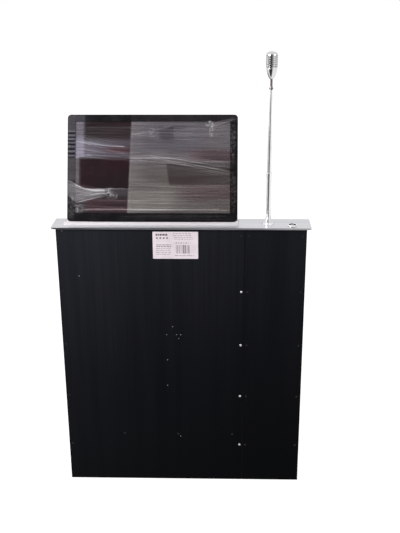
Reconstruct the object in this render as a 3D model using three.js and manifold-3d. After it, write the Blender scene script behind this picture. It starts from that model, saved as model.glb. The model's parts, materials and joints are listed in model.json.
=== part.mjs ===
// Drop-in presentation unit: a slim sheet-metal housing with an aluminium top plate.
// A monitor rises through one slot of the plate and leans back, and a microphone mast
// rises through a hole beside it. Millimetres, +Z up, front towards -Y. The origin is
// the centre of the housing's underside. The model stands with both lifts raised.

import * as THREE from "three";
import { mergeVertices } from "three/addons/utils/BufferGeometryUtils.js";
import Module from "manifold-3d";

const wasm = await Module();
wasm.setup();

// Housing
const HOUSING_W = 556;
const HOUSING_D = 62;
const TOTAL_H = 650;
const SHEET = 1.5;
const GAP = 0.3;
const SEAM_X = 141.5;
const FLANGE = 14;

// Top plate
const PLATE_W = 576;
const PLATE_D = 70;
const PLATE_T = 4;
const PLATE_CORNER = 3;
const PLATE_UNDER = TOTAL_H - PLATE_T;
const SLOT_W = 390;
const SLOT_FRONT = -17.5;
const SLOT_BACK = 26.5;
const SLOT_CLEAR = 0.7;
const FRONT_BAR_H = 6.5;

// Monitor and its lift
const BAY_X = -67;
const MONITOR_W = 380;
const MONITOR_H = 235;
const MONITOR_CORNER = 8;
const TILT_DEG = 21;
const HINGE_Y = -5;
const HINGE_Z = 654.5;
const HINGE_TO_MONITOR = 4;
const MONITOR_X = BAY_X + 2.2;
const LIP_T = 0.8;
const LIP_LOW = 0.2;
const ROD_R = 3;
const SIDE_REACH = 200;
const ROD_Y = 14;
const BELT_Y = -6;
const BELT_R = 7.5;
const BELT_T = 1.5;
const BELT_W = 6;
const LIFT_IDLER_Z = 628;
const LIFT_SHAFT_Z = 305;
const SHAFT_R = 4;
const CARRIAGE_Z = 588;

// Microphone mast and its lift
const MAST_X = 193.5;
const MAST_Y = -1;
const MIC_TOP = TOTAL_H + 375;
const MIC_R = 12.5;
const MAST_HOLE_R = MIC_R + 1.2;
const MAST_DISC_R = 12.8;
const MAST_JOINT_Z = TOTAL_H + 112;
const MAST_STEP_Z = TOTAL_H + 228;
const NECK_Z = TOTAL_H + 296.5;
const MIC_BODY_Z = TOTAL_H + 318;
const LOWER_R = 5.6;
const UPPER_R = 4.8;
const THIN_R = 3.5;
const MIC_ROD_X = 224;
const MIC_CARRIAGE_Z = 545;
const MIC_CARRIAGE_H = 30;
const MIC_BELT_X = 252;
const MIC_BELT_Y = -14;
const MIC_IDLER_Z = 595;
const MIC_DRIVE_Z = 140;

// Push button
const BUTTON_X = 246.5;
const BUTTON_Y = -17;
const BUTTON_HOLE_R = 8.4;

// Label on the front cover, and the shelf above the power supply
const LABEL_X = -12.3;
const LABEL_W = 101;
const LABEL_H = 63.5;
const LABEL_T = 0.4;
const LABEL_Z = 576.7;
const SHELF_Z = 134;

// Rear connectors
const CONNECTOR_Z = 45;
const INLET_X = -225;
const VIDEO_X = 50;
const NETWORK_X = 95;
const MIC_SOCKET_X = 185;

const ROUND = 32;
const FINE = 48;

const colours = {
  brushed: [0xc4c6c9, 0.36, 0.9],
  blackPaint: [0x1b1c20, 0.5, 0.25],
  zinc: [0x9fa3a6, 0.42, 0.85],
  steel: [0xb8bcc0, 0.25, 0.95],
  chrome: [0xd8dadd, 0.12, 1.0],
  darkMetal: [0x3a3c40, 0.45, 0.7],
  rubber: [0x151516, 0.85, 0.0],
  blackPlastic: [0x1d1c20, 0.55, 0.0],
  screen: [0x1a1518, 0.15, 0.0],
  film: [0xb9b7ba, 0.2, 0.0],
  paper: [0xcfc7ca, 0.7, 0.0],
  board: [0x1f5a3c, 0.5, 0.1],
};

function material(name) {
  const [color, roughness, metalness] = colours[name];
  return new THREE.MeshStandardMaterial({ color, roughness, metalness });
}

function toSolid(geometry) {
  const bare = geometry.clone();
  bare.deleteAttribute("normal");
  bare.deleteAttribute("uv");
  const merged = mergeVertices(bare, 1e-4);
  return new wasm.Manifold(
    new wasm.Mesh({
      numProp: 3,
      vertProperties: new Float32Array(merged.attributes.position.array),
      triVerts: new Uint32Array(merged.index.array),
    }),
  );
}

function toGeometry(solid) {
  const mesh = solid.getMesh();
  const geometry = new THREE.BufferGeometry();
  geometry.setAttribute("position", new THREE.BufferAttribute(mesh.vertProperties, 3));
  geometry.setIndex(new THREE.BufferAttribute(mesh.triVerts, 1));
  geometry.computeVertexNormals();
  return geometry;
}

function join(first, ...others) {
  return toGeometry(others.reduce((sum, g) => sum.add(toSolid(g)), toSolid(first)));
}

function cut(first, ...others) {
  return toGeometry(others.reduce((rest, g) => rest.subtract(toSolid(g)), toSolid(first)));
}

// Box between two corners.
function box(x0, x1, y0, y1, z0, z1) {
  const g = new THREE.BoxGeometry(x1 - x0, y1 - y0, z1 - z0);
  g.translate((x0 + x1) / 2, (y0 + y1) / 2, (z0 + z1) / 2);
  return g;
}

// Round bar along "x", "y" or "z", starting at the given point.
function bar(axis, radius, length, x, y, z, segments = ROUND) {
  const g = new THREE.CylinderGeometry(radius, radius, length, segments);
  if (axis === "x") g.rotateZ(-Math.PI / 2).translate(x + length / 2, y, z);
  if (axis === "y") g.translate(x, y + length / 2, z);
  if (axis === "z") g.rotateX(Math.PI / 2).translate(x, y, z + length / 2);
  return g;
}

// Ring or turned part about a vertical axis, from [radius, height] pairs.
function turned(profile, x, y, z, segments = ROUND) {
  const points = profile.map(([r, h]) => new THREE.Vector2(r, h));
  const g = new THREE.LatheGeometry(points, segments);
  return g.rotateX(Math.PI / 2).translate(x, y, z);
}

function roundedShape(w, h, r) {
  const s = new THREE.Shape();
  s.moveTo(-w / 2 + r, -h / 2);
  s.lineTo(w / 2 - r, -h / 2);
  s.absarc(w / 2 - r, -h / 2 + r, r, -Math.PI / 2, 0, false);
  s.lineTo(w / 2, h / 2 - r);
  s.absarc(w / 2 - r, h / 2 - r, r, 0, Math.PI / 2, false);
  s.lineTo(-w / 2 + r, h / 2);
  s.absarc(-w / 2 + r, h / 2 - r, r, Math.PI / 2, Math.PI, false);
  s.lineTo(-w / 2, -h / 2 + r);
  s.absarc(-w / 2 + r, -h / 2 + r, r, Math.PI, 1.5 * Math.PI, false);
  return s;
}

// Flat plate lying in XY, its underside at z0.
function flatPlate(w, d, r, thickness, x, y, z0) {
  const g = new THREE.ExtrudeGeometry(roundedShape(w, d, r), {
    depth: thickness,
    bevelEnabled: false,
    curveSegments: 6,
  });
  return g.translate(x, y, z0);
}

// Upright panel in XZ, its front face at y0, its lower edge at z0.
function uprightPanel(w, h, r, thickness, x, y0, z0) {
  const g = new THREE.ExtrudeGeometry(roundedShape(w, h, r), {
    depth: thickness,
    bevelEnabled: false,
    curveSegments: 6,
  });
  return g.rotateX(Math.PI / 2).translate(x, y0 + thickness, z0 + h / 2);
}

// Endless belt round two pulleys one above the other; its loop lies in XZ or YZ.
function beltLoop(plane, centre, zLow, zHigh, inner, thickness, width, across) {
  const half = (zHigh - zLow) / 2;
  const ring = (r, path) => {
    path.absarc(0, half, r, 0, Math.PI, false);
    path.absarc(0, -half, r, Math.PI, 2 * Math.PI, false);
    path.closePath();
    return path;
  };
  const shape = ring(inner + thickness, new THREE.Shape());
  shape.holes.push(ring(inner, new THREE.Path()));
  const g = new THREE.ExtrudeGeometry(shape, {
    depth: width,
    bevelEnabled: false,
    curveSegments: 12,
  });
  g.translate(0, 0, -width / 2).rotateX(Math.PI / 2);
  if (plane === "yz") g.rotateZ(Math.PI / 2);
  const middle = (zLow + zHigh) / 2;
  return plane === "yz"
    ? g.translate(across, centre, middle)
    : g.translate(centre, across, middle);
}

const unit = new THREE.Group();

function add(name, geometry, look, parent = unit) {
  const mesh = new THREE.Mesh(geometry, material(look));
  mesh.name = name;
  parent.add(mesh);
}

const left = -HOUSING_W / 2;
const right = HOUSING_W / 2;
const front = -HOUSING_D / 2;
const back = HOUSING_D / 2;
const innerFront = front + SHEET;
const innerBack = back - SHEET;
const coverTop = PLATE_UNDER - GAP;
const insideFront = innerFront + GAP;
const insideBack = innerBack - GAP;

// Top plate with the monitor slot, the mast hole and the button hole.
add(
  "top_plate",
  cut(
    flatPlate(PLATE_W, PLATE_D, PLATE_CORNER, PLATE_T, 0, 0, PLATE_UNDER),
    box(
      BAY_X - SLOT_W / 2, BAY_X + SLOT_W / 2,
      SLOT_FRONT, SLOT_BACK,
      PLATE_UNDER - 1, TOTAL_H + 1,
    ),
    bar("z", MAST_HOLE_R, PLATE_T + 2, MAST_X, MAST_Y, PLATE_UNDER - 1),
    bar("z", BUTTON_HOLE_R, PLATE_T + 2, BUTTON_X, BUTTON_Y, PLATE_UNDER - 1),
  ),
  "brushed",
);

// Covers, side panels and base.
add(
  "front_cover_monitor_bay",
  box(left, SEAM_X - GAP, front, innerFront, 0, coverTop),
  "blackPaint",
);
add(
  "front_cover_mic_bay",
  box(SEAM_X + GAP, right, front, innerFront, 0, coverTop),
  "blackPaint",
);
add(
  "label_plate",
  uprightPanel(LABEL_W, LABEL_H, 2, LABEL_T, LABEL_X, front - GAP - LABEL_T, LABEL_Z),
  "paper",
);

const ventSlots = [];
for (let row = 0; row < 2; row += 1) {
  for (let i = 0; i < 9; i += 1) {
    const x = -160 + i * 18;
    ventSlots.push(box(x, x + 4, innerBack - 1, back + 1, 150 + row * 60, 190 + row * 60));
  }
}
add(
  "rear_cover",
  cut(
    box(left, right, innerBack, back, 0, coverTop),
    box(INLET_X - 24.5, INLET_X + 24.5, innerBack - 1, back + 1, 26, 64),
    box(VIDEO_X - 9.2, VIDEO_X + 9.2, innerBack - 1, back + 1, 40.5, 49.5),
    box(NETWORK_X - 8.2, NETWORK_X + 8.2, innerBack - 1, back + 1, 37.5, 52.5),
    bar("y", 12, SHEET + 2, MIC_SOCKET_X, innerBack - 1, CONNECTOR_Z),
    ...ventSlots,
  ),
  "blackPaint",
);

// Side panel folded from sheet: a web with a flange behind each cover.
function sidePanel(outer, inward) {
  const x = (a, b) => [Math.min(outer + inward * a, outer + inward * b),
    Math.max(outer + inward * a, outer + inward * b)];
  const z0 = 2 + GAP;
  return join(
    box(...x(0, SHEET), insideFront, insideBack, z0, coverTop),
    box(...x(0, FLANGE), insideFront, insideFront + SHEET, z0, coverTop),
    box(...x(0, FLANGE), insideBack - SHEET, insideBack, z0, coverTop),
  );
}
add("side_panel_left", sidePanel(left, 1), "blackPaint");
add("side_panel_right", sidePanel(right, -1), "blackPaint");

add(
  "bay_divider",
  join(
    box(SEAM_X - 0.75, SEAM_X + 0.75, insideFront, insideBack, 2 + GAP, coverTop),
    box(SEAM_X - 13, SEAM_X + 13, insideFront, insideFront + SHEET, 2 + GAP, coverTop),
    box(SEAM_X - 0.75, SEAM_X + 13, insideBack - SHEET, insideBack, 2 + GAP, coverTop),
  ),
  "zinc",
);

const trayLeft = left + FLANGE + 1;
const trayRight = right - FLANGE - 1;
add(
  "bottom_plate",
  join(
    box(left, right, insideFront, insideBack, 0, 2),
    box(trayLeft, SEAM_X - 14, insideFront, insideFront + SHEET, 0, 20),
    box(SEAM_X + 14, trayRight, insideFront, insideFront + SHEET, 0, 20),
    box(trayLeft, SEAM_X - 14, insideBack - SHEET, insideBack, 0, 20),
    box(SEAM_X + 14, trayRight, insideBack - SHEET, insideBack, 0, 20),
  ),
  "blackPaint",
);

// Shelf above the power supply, held through the front cover by three screws.
add(
  "equipment_shelf",
  join(
    box(trayLeft, SEAM_X - 14, insideFront, 25, SHELF_Z - SHEET, SHELF_Z),
    box(trayLeft, SEAM_X - 14, insideFront, insideFront + SHEET, SHELF_Z - 22, SHELF_Z),
  ),
  "zinc",
);

add(
  "power_supply",
  cut(
    box(-150, 0, -22, 22, 2 + GAP, 100),
    box(-151, -138, -16, 16, 70, 101),
  ),
  "zinc",
);

// Control board on four pillars, with its chips, relays and terminals.
const boardZ = SHELF_Z + GAP;
const chips = [
  box(-185, -165, -12, 8, boardZ + 6, boardZ + 10),
  box(-150, -132, -18, 0, boardZ + 6, boardZ + 21),
  box(-128, -110, -18, 0, boardZ + 6, boardZ + 21),
  box(-200, -100, 8, 16, boardZ + 6, boardZ + 16),
  bar("z", 5, 16, -196, -12, boardZ + 6, 20),
];
const pillars = [];
for (const x of [-202, -98]) {
  for (const y of [-18, 18]) pillars.push(bar("z", 2.5, 7, x, y, boardZ, 12));
}
add(
  "control_board",
  join(box(-206, -94, -22, 22, boardZ + 5, boardZ + 6.6), ...pillars, ...chips),
  "board",
);

// Mains inlet module with an opening for the rocker above the appliance inlet.
add(
  "mains_inlet",
  cut(
    join(
      box(INLET_X - 24, INLET_X + 24, 4, back + GAP, 26.5, 63.5),
      box(INLET_X - 28, INLET_X + 28, back + GAP, back + 2.5, 23, 67),
    ),
    box(INLET_X - 20, INLET_X + 5, 14, back + 3, 36, 54),
    box(INLET_X + 9, INLET_X + 21, 14, back + 3, 34, 56),
  ),
  "blackPlastic",
);

function socket(x, halfW, halfH, depth, wall) {
  return cut(
    join(
      box(x - halfW, x + halfW, back - depth, back + GAP, CONNECTOR_Z - halfH, CONNECTOR_Z + halfH),
      box(x - halfW - 3, x + halfW + 3, back + GAP, back + 1.6,
        CONNECTOR_Z - halfH - 3, CONNECTOR_Z + halfH + 3),
    ),
    box(x - halfW + wall, x + halfW - wall, back - depth + 2, back + 3,
      CONNECTOR_Z - halfH + wall, CONNECTOR_Z + halfH - wall),
  );
}
add("video_socket", socket(VIDEO_X, 8.9, 4.2, 12, 0.9), "steel");
add("network_socket", socket(NETWORK_X, 7.9, 7.2, 16, 1.0), "steel");
add(
  "mic_output_socket",
  cut(
    join(
      bar("y", 11.6, 18 + GAP, MIC_SOCKET_X, back - 18, CONNECTOR_Z),
      box(MIC_SOCKET_X - 13, MIC_SOCKET_X + 13, back + GAP, back + 2.3,
        CONNECTOR_Z - 15.5, CONNECTOR_Z + 15.5),
    ),
    bar("y", 9.6, 20, MIC_SOCKET_X, back - 14, CONNECTOR_Z),
  ),
  "darkMetal",
);

// The rocker turns about X inside the inlet module and rests with its upper end pressed.
const ROCKER_SWING_DEG = 9;
const rocker = new THREE.Group();
rocker.position.set(INLET_X + 15, back - 2, CONNECTOR_Z);
rocker.rotation.x = THREE.MathUtils.degToRad(ROCKER_SWING_DEG);
unit.add(rocker);
add(
  "power_rocker",
  join(box(-5, 5, -3, 3, -8.5, 8.5), bar("x", 4.4, 10, -5, 0, 0, 20)),
  "blackPlastic",
  rocker,
);

// Monitor lift: guide rods, toothed belts and one shaft joining both sides.
for (const [side, name] of [[-1, "left"], [1, "right"]]) {
  const x = BAY_X + side * SIDE_REACH;
  const wall = side < 0 ? left + SHEET + GAP : SEAM_X - 0.75 - GAP;
  const span = (a, b) => [Math.min(a, b), Math.max(a, b)];
  const inner = x - side * 9;
  add(
    `guide_rod_${name}`,
    bar("z", ROD_R, coverTop - 300 - GAP, x, ROD_Y, 300 + GAP, 20),
    "steel",
  );
  add(
    `lower_bracket_${name}`,
    cut(
      join(
        box(...span(wall, inner), ROD_Y - 8, insideBack - SHEET - GAP, 290, 312),
        box(...span(inner, inner - side * 12), -14, insideBack - SHEET - GAP, 290, 320),
      ),
      bar("z", ROD_R + GAP, 30, x, ROD_Y, 300, 20),
      bar("x", SHAFT_R + GAP, 40, inner - 20, BELT_Y, LIFT_SHAFT_Z, 20),
    ),
    "zinc",
  );
  add(
    `idler_bracket_${name}`,
    join(
      box(...span(wall, x + side * 5), BELT_Y - 8, BELT_Y + 8, 616, coverTop),
      bar("x", 2, 10, x - 5, BELT_Y, LIFT_IDLER_Z, 16),
    ),
    "zinc",
  );
  add(
    `lift_belt_${name}`,
    beltLoop("yz", BELT_Y, LIFT_SHAFT_Z, LIFT_IDLER_Z, BELT_R, BELT_T, BELT_W, x),
    "rubber",
  );
  add(
    `idler_pulley_${name}`,
    cut(
      bar("x", BELT_R - GAP, BELT_W + 1.4, x - BELT_W / 2 - 0.7, BELT_Y, LIFT_IDLER_Z),
      bar("x", 2 + GAP, BELT_W + 4, x - BELT_W / 2 - 2, BELT_Y, LIFT_IDLER_Z, 16),
    ),
    "steel",
  );
}

const shaftStart = BAY_X - SIDE_REACH - BELT_W / 2 - 0.7;
const shaftLength = 2 * SIDE_REACH + BELT_W + 1.4;
add(
  "drive_shaft",
  join(
    bar("x", SHAFT_R, shaftLength, shaftStart, BELT_Y, LIFT_SHAFT_Z, 24),
    bar("x", BELT_R - GAP, BELT_W + 1.4, shaftStart, BELT_Y, LIFT_SHAFT_Z),
    bar("x", BELT_R - GAP, BELT_W + 1.4, BAY_X + SIDE_REACH - BELT_W / 2 - 0.7, BELT_Y,
      LIFT_SHAFT_Z),
  ),
  "steel",
);

// Worm gearbox round the shaft, held to the rear cover, with its motor hanging below.
add(
  "lift_gearbox",
  cut(
    join(
      box(BAY_X - 23, BAY_X + 23, -26, 16, 280, 330),
      box(BAY_X - 32, BAY_X + 32, 14, insideBack, 284, 326),
    ),
    box(BAY_X - 29, BAY_X + 29, 17, insideBack - 2.5, 283, 327),
    bar("x", SHAFT_R + GAP, 70, BAY_X - 35, BELT_Y, LIFT_SHAFT_Z, 24),
  ),
  "darkMetal",
);
add(
  "lift_motor",
  join(
    bar("z", 18, 62, BAY_X, BELT_Y, 217.7, 28),
    bar("z", 11, 4, BAY_X, BELT_Y, 214, 20),
  ),
  "zinc",
);

// Carriage: a beam under the slot plate, with an end block on each side.
add(
  "carriage_frame",
  join(
    box(BAY_X - 190.5, BAY_X + 190.5, -6, 18, CARRIAGE_Z, CARRIAGE_Z + 18),
    box(BAY_X - 160, BAY_X - 146, -6, 18, CARRIAGE_Z + 18, PLATE_UNDER - 1),
    box(BAY_X - 7, BAY_X + 7, -6, 18, CARRIAGE_Z + 18, PLATE_UNDER - 1),
    box(BAY_X + 146, BAY_X + 160, -6, 18, CARRIAGE_Z + 18, PLATE_UNDER - 1),
  ),
  "zinc",
);
for (const [side, name] of [[-1, "left"], [1, "right"]]) {
  const x = BAY_X + side * SIDE_REACH;
  const outer = x + side * 6;
  const inner = x - side * 9.2;
  add(
    `carriage_end_${name}`,
    cut(
      box(Math.min(outer, inner), Math.max(outer, inner), -4, 20, 575, 612),
      bar("z", ROD_R + 0.4, 50, x, ROD_Y, 570, 20),
      box(
        Math.min(outer + side, x - side * 3.4), Math.max(outer + side, x - side * 3.4),
        BELT_Y + BELT_R - 0.4, BELT_Y + BELT_R + BELT_T + 0.4,
        570, 620,
      ),
    ),
    "darkMetal",
  );
}

// Plate that fills the slot, with a raised front bar and four hinge lugs.
const lugs = [];
for (const side of [-1, 1]) {
  for (const offset of [-17, 17]) {
    const x = MONITOR_X + side * 120 + offset;
    lugs.push(box(x - 2, x + 2, HINGE_Y - 3, HINGE_Y + 3, TOTAL_H - 1, HINGE_Z + 2.5));
  }
}
add(
  "carrier_plate",
  cut(
    join(
      box(
        BAY_X - SLOT_W / 2 + SLOT_CLEAR, BAY_X + SLOT_W / 2 - SLOT_CLEAR,
        SLOT_FRONT + 0.8, SLOT_BACK - 0.8,
        PLATE_UNDER - 0.7, TOTAL_H - 0.4,
      ),
      box(
        BAY_X - SLOT_W / 2 + SLOT_CLEAR, BAY_X + SLOT_W / 2 - SLOT_CLEAR,
        SLOT_FRONT + 0.8, SLOT_FRONT + 5.5,
        PLATE_UNDER - 0.7, TOTAL_H + FRONT_BAR_H,
      ),
      ...lugs,
    ),
    bar("x", 2 + GAP, MONITOR_W, BAY_X - MONITOR_W / 2, HINGE_Y, HINGE_Z, 16),
  ),
  "brushed",
);
add("hinge_rod", bar("x", 2, 284, BAY_X - 142, HINGE_Y, HINGE_Z, 20), "steel");
add(
  "tilt_motor",
  bar("x", 3.8, 40, BAY_X + 144, HINGE_Y, HINGE_Z, 24),
  "zinc",
);

// Monitor, drawn upright on its hinge line and leaned back as one group. Its front sheet
// reaches down as a thin lip that hides the hinge.
const monitor = new THREE.Group();
monitor.position.set(MONITOR_X, HINGE_Y, HINGE_Z);
monitor.rotation.x = -THREE.MathUtils.degToRad(TILT_DEG);
unit.add(monitor);

const screenBottom = HINGE_TO_MONITOR + 17;
const screenTop = HINGE_TO_MONITOR + MONITOR_H - 15;
const screenLeft = -MONITOR_W / 2 + 17.5;
const screenRight = MONITOR_W / 2 - 15.5;
const lipH = MONITOR_H + HINGE_TO_MONITOR - LIP_LOW;
add(
  "monitor_bezel",
  cut(
    join(
      uprightPanel(MONITOR_W, MONITOR_H, MONITOR_CORNER, 5.7, 0, -5, HINGE_TO_MONITOR),
      uprightPanel(MONITOR_W, lipH, MONITOR_CORNER, LIP_T, 0, -5, LIP_LOW),
    ),
    box(-MONITOR_W / 2 + 5, MONITOR_W / 2 - 5, -3.5, 2,
      HINGE_TO_MONITOR + 5, HINGE_TO_MONITOR + MONITOR_H - 5),
    box(screenLeft, screenRight, -6, -3, screenBottom, screenTop),
  ),
  "blackPlastic",
  monitor,
);
add(
  "lcd_panel",
  box(-MONITOR_W / 2 + 8, MONITOR_W / 2 - 8, -3.2, 0.6,
    HINGE_TO_MONITOR + 8, HINGE_TO_MONITOR + MONITOR_H - 8),
  "screen",
  monitor,
);

const shellVents = [];
for (let i = 0; i < 12; i += 1) {
  const x = -66 + i * 12;
  shellVents.push(box(x - 1.5, x + 1.5, 4, 7, MONITOR_H - 30, MONITOR_H - 12));
}
const knuckles = [];
for (const side of [-1, 1]) {
  knuckles.push(bar("x", 3.9, 28, side * 120 - 14, 0, 0, 24));
  knuckles.push(box(side * 120 - 14, side * 120 + 14, 1, 3.9, 0, HINGE_TO_MONITOR + 1));
}
add(
  "monitor_rear_shell",
  cut(
    join(
      uprightPanel(MONITOR_W, MONITOR_H, MONITOR_CORNER, 5, 0, 1, HINGE_TO_MONITOR),
      ...knuckles,
    ),
    box(-MONITOR_W / 2 + 3, MONITOR_W / 2 - 3, 0, 4.6,
      HINGE_TO_MONITOR + 3, HINGE_TO_MONITOR + MONITOR_H - 3),
    bar("x", 2 + GAP, MONITOR_W, -MONITOR_W / 2, 0, 0, 16),
    ...shellVents,
  ),
  "blackPlastic",
  monitor,
);
add(
  "display_board",
  join(
    box(-70, 70, 1.2, 2.4, 60, 130),
    box(-50, -30, 2.4, 3.8, 80, 100),
    box(-10, 10, 2.4, 3.6, 85, 105),
    box(30, 60, 2.4, 4.0, 66, 76),
  ),
  "board",
  monitor,
);
add(
  "protective_film",
  box(-MONITOR_W / 2 + 1, MONITOR_W / 2 - 1, -5.65, -5.3,
    LIP_LOW + 1.5, HINGE_TO_MONITOR + MONITOR_H - 1),
  "film",
  monitor,
);

// Microphone lift.
const micCarriageTop = MIC_CARRIAGE_Z + MIC_CARRIAGE_H;
add(
  "mic_lower_bracket",
  cut(
    box(175, 230.5, -8, insideBack - SHEET - GAP, 146, 163),
    bar("z", ROD_R + GAP, 20, MIC_ROD_X, MAST_Y, 152, 20),
    bar("z", 9, 40, MAST_X, MAST_Y, 140, 24),
  ),
  "zinc",
);
add(
  "mic_guide_rod",
  bar("z", ROD_R, coverTop - 152 - GAP, MIC_ROD_X, MAST_Y, 152 + GAP, 20),
  "steel",
);
add(
  "mic_belt",
  beltLoop("xz", MIC_BELT_X, MIC_DRIVE_Z, MIC_IDLER_Z, BELT_R, BELT_T, BELT_W, MIC_BELT_Y),
  "rubber",
);
add(
  "mic_motor",
  join(
    box(MIC_BELT_X - 21, MIC_BELT_X + 21, -7, 25, MIC_DRIVE_Z - 21, MIC_DRIVE_Z + 21),
    bar("y", 2.5, 12, MIC_BELT_X, -18, MIC_DRIVE_Z, 16),
  ),
  "darkMetal",
);
add(
  "mic_drive_pulley",
  cut(
    bar("y", BELT_R - GAP, BELT_W + 1.4, MIC_BELT_X, MIC_BELT_Y - BELT_W / 2 - 0.7, MIC_DRIVE_Z),
    bar("y", 2.5 + GAP, BELT_W + 8, MIC_BELT_X, MIC_BELT_Y - 7, MIC_DRIVE_Z, 16),
  ),
  "steel",
);
add(
  "mic_idler_bracket",
  join(
    box(MIC_BELT_X - 10, MIC_BELT_X + 22, -8, -4, MIC_IDLER_Z - 12, MIC_IDLER_Z + 12),
    box(MIC_BELT_X + 12, MIC_BELT_X + 22, -8, insideBack - SHEET - GAP,
      MIC_IDLER_Z - 12, MIC_IDLER_Z + 12),
    bar("y", 2, 12, MIC_BELT_X, -18, MIC_IDLER_Z, 16),
  ),
  "zinc",
);
add(
  "mic_idler_pulley",
  cut(
    bar("y", BELT_R - GAP, BELT_W + 1.4, MIC_BELT_X, MIC_BELT_Y - BELT_W / 2 - 0.7, MIC_IDLER_Z),
    bar("y", 2 + GAP, BELT_W + 8, MIC_BELT_X, MIC_BELT_Y - 7, MIC_IDLER_Z, 16),
  ),
  "steel",
);
add(
  "mic_carriage",
  cut(
    join(
      box(176, 238, -12, 12, MIC_CARRIAGE_Z, micCarriageTop),
      box(225, 249, -19, -9, MIC_CARRIAGE_Z, micCarriageTop),
    ),
    bar("z", ROD_R + 0.4, 50, MIC_ROD_X, MAST_Y, MIC_CARRIAGE_Z - 5, 20),
    bar("z", LOWER_R + GAP, 40, MAST_X, MAST_Y, MIC_CARRIAGE_Z + 5, 24),
    box(
      MIC_BELT_X - BELT_R - BELT_T - 0.4, MIC_BELT_X - BELT_R + 0.4,
      -20, MIC_BELT_Y + BELT_W / 2 + 0.4,
      MIC_CARRIAGE_Z - 1, micCarriageTop + 1,
    ),
  ),
  "darkMetal",
);

// Mast of two tubes, the lower one thicker; the upper one has a thin end.
add(
  "mast_lower_tube",
  turned(
    [
      [3.6, 0], [LOWER_R, 0], [LOWER_R, MAST_JOINT_Z - MIC_CARRIAGE_Z - 9],
      [LOWER_R + 0.6, MAST_JOINT_Z - MIC_CARRIAGE_Z - 8],
      [LOWER_R + 0.6, MAST_JOINT_Z - MIC_CARRIAGE_Z - 2],
      [LOWER_R - 0.4, MAST_JOINT_Z - MIC_CARRIAGE_Z],
      [3.6, MAST_JOINT_Z - MIC_CARRIAGE_Z], [3.6, 0],
    ],
    MAST_X, MAST_Y, MIC_CARRIAGE_Z + 5 + GAP, 24,
  ),
  "chrome",
);
add(
  "mast_upper_tube",
  turned(
    [
      [2, 0], [UPPER_R, 0], [UPPER_R, MAST_STEP_Z - MAST_JOINT_Z - 6],
      [THIN_R, MAST_STEP_Z - MAST_JOINT_Z - 4], [THIN_R, NECK_Z - MAST_JOINT_Z - 6],
      [2, NECK_Z - MAST_JOINT_Z - 6], [2, 0],
    ],
    MAST_X, MAST_Y, MAST_JOINT_Z + 5.6, 24,
  ),
  "chrome",
);
add(
  "mast_base_cone",
  turned(
    [
      [LOWER_R + GAP, -1.6], [MAST_DISC_R, -1.6], [MAST_DISC_R, 0.5], [8.6, 1.6], [7.6, 5], [7, 13],
      [LOWER_R + GAP, 13], [LOWER_R + GAP, -1.6],
    ],
    MAST_X, MAST_Y, TOTAL_H,
  ),
  "chrome",
);
add(
  "mic_neck",
  turned(
    [
      [0, 0], [3.6, 0], [4.4, 0.8], [4.4, 2], [2.6, 7], [2.6, MIC_BODY_Z - NECK_Z - GAP],
      [0, MIC_BODY_Z - NECK_Z - GAP],
    ],
    MAST_X, MAST_Y, NECK_Z, 24,
  ),
  "darkMetal",
);
add(
  "mic_body",
  turned(
    [
      [0, 0], [3.6, 0], [6.4, 3], [9.2, 9], [11.3, 16], [MIC_R - 0.2, 22], [MIC_R - 0.2, 24],
      [9, 24], [9, 15], [0, 15],
    ],
    MAST_X, MAST_Y, MIC_BODY_Z, FINE,
  ),
  "chrome",
);
add(
  "mic_grille",
  turned(
    [
      [0, 18], [8, 18], [8, 24 + GAP], [MIC_R - 0.2, 24 + GAP], [MIC_R, 26], [MIC_R, 50], [11.6, 53.6],
      [9.4, 56], [5, 57], [0, 57],
    ],
    MAST_X, MAST_Y, MIC_BODY_Z, FINE,
  ),
  "steel",
);

// Push button in the front right corner of the plate: a raised ring round a sunk cap.
add(
  "button_bezel",
  turned(
    [
      [6.6, -20], [7.9, -20], [7.9, GAP], [10.4, GAP], [10.4, 1.6], [9.6, 2.8], [8.2, 3.4],
      [7.2, 3.4], [6.6, 2.8], [6.6, -20],
    ],
    BUTTON_X, BUTTON_Y, TOTAL_H,
  ),
  "chrome",
);
add(
  "push_button",
  turned(
    [[0, -12], [6, -12], [6, 1.3], [5.4, 1.7], [3, 1.2], [0, 1]],
    BUTTON_X, BUTTON_Y, TOTAL_H,
  ),
  "chrome",
);
add(
  "button_contact_block",
  join(
    box(BUTTON_X - 8, BUTTON_X + 8, BUTTON_Y - 8, BUTTON_Y + 8, 612, TOTAL_H - 20 - GAP),
    box(BUTTON_X - 4, BUTTON_X + 4, BUTTON_Y - 2, BUTTON_Y + 2, 606, 613),
  ),
  "blackPlastic",
);
add(
  "button_nut",
  cut(
    bar("z", 12, 4, BUTTON_X, BUTTON_Y, coverTop - 4, 6),
    bar("z", 8.2, 8, BUTTON_X, BUTTON_Y, coverTop - 6, 24),
  ),
  "steel",
);

export default unit;
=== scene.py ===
"""Looks of a drop-in presentation unit: monitor lift, microphone mast and push button."""

import json
import math
import random

import bmesh
import bpy
import numpy as np
from mathutils import Matrix, Vector, noise

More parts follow.
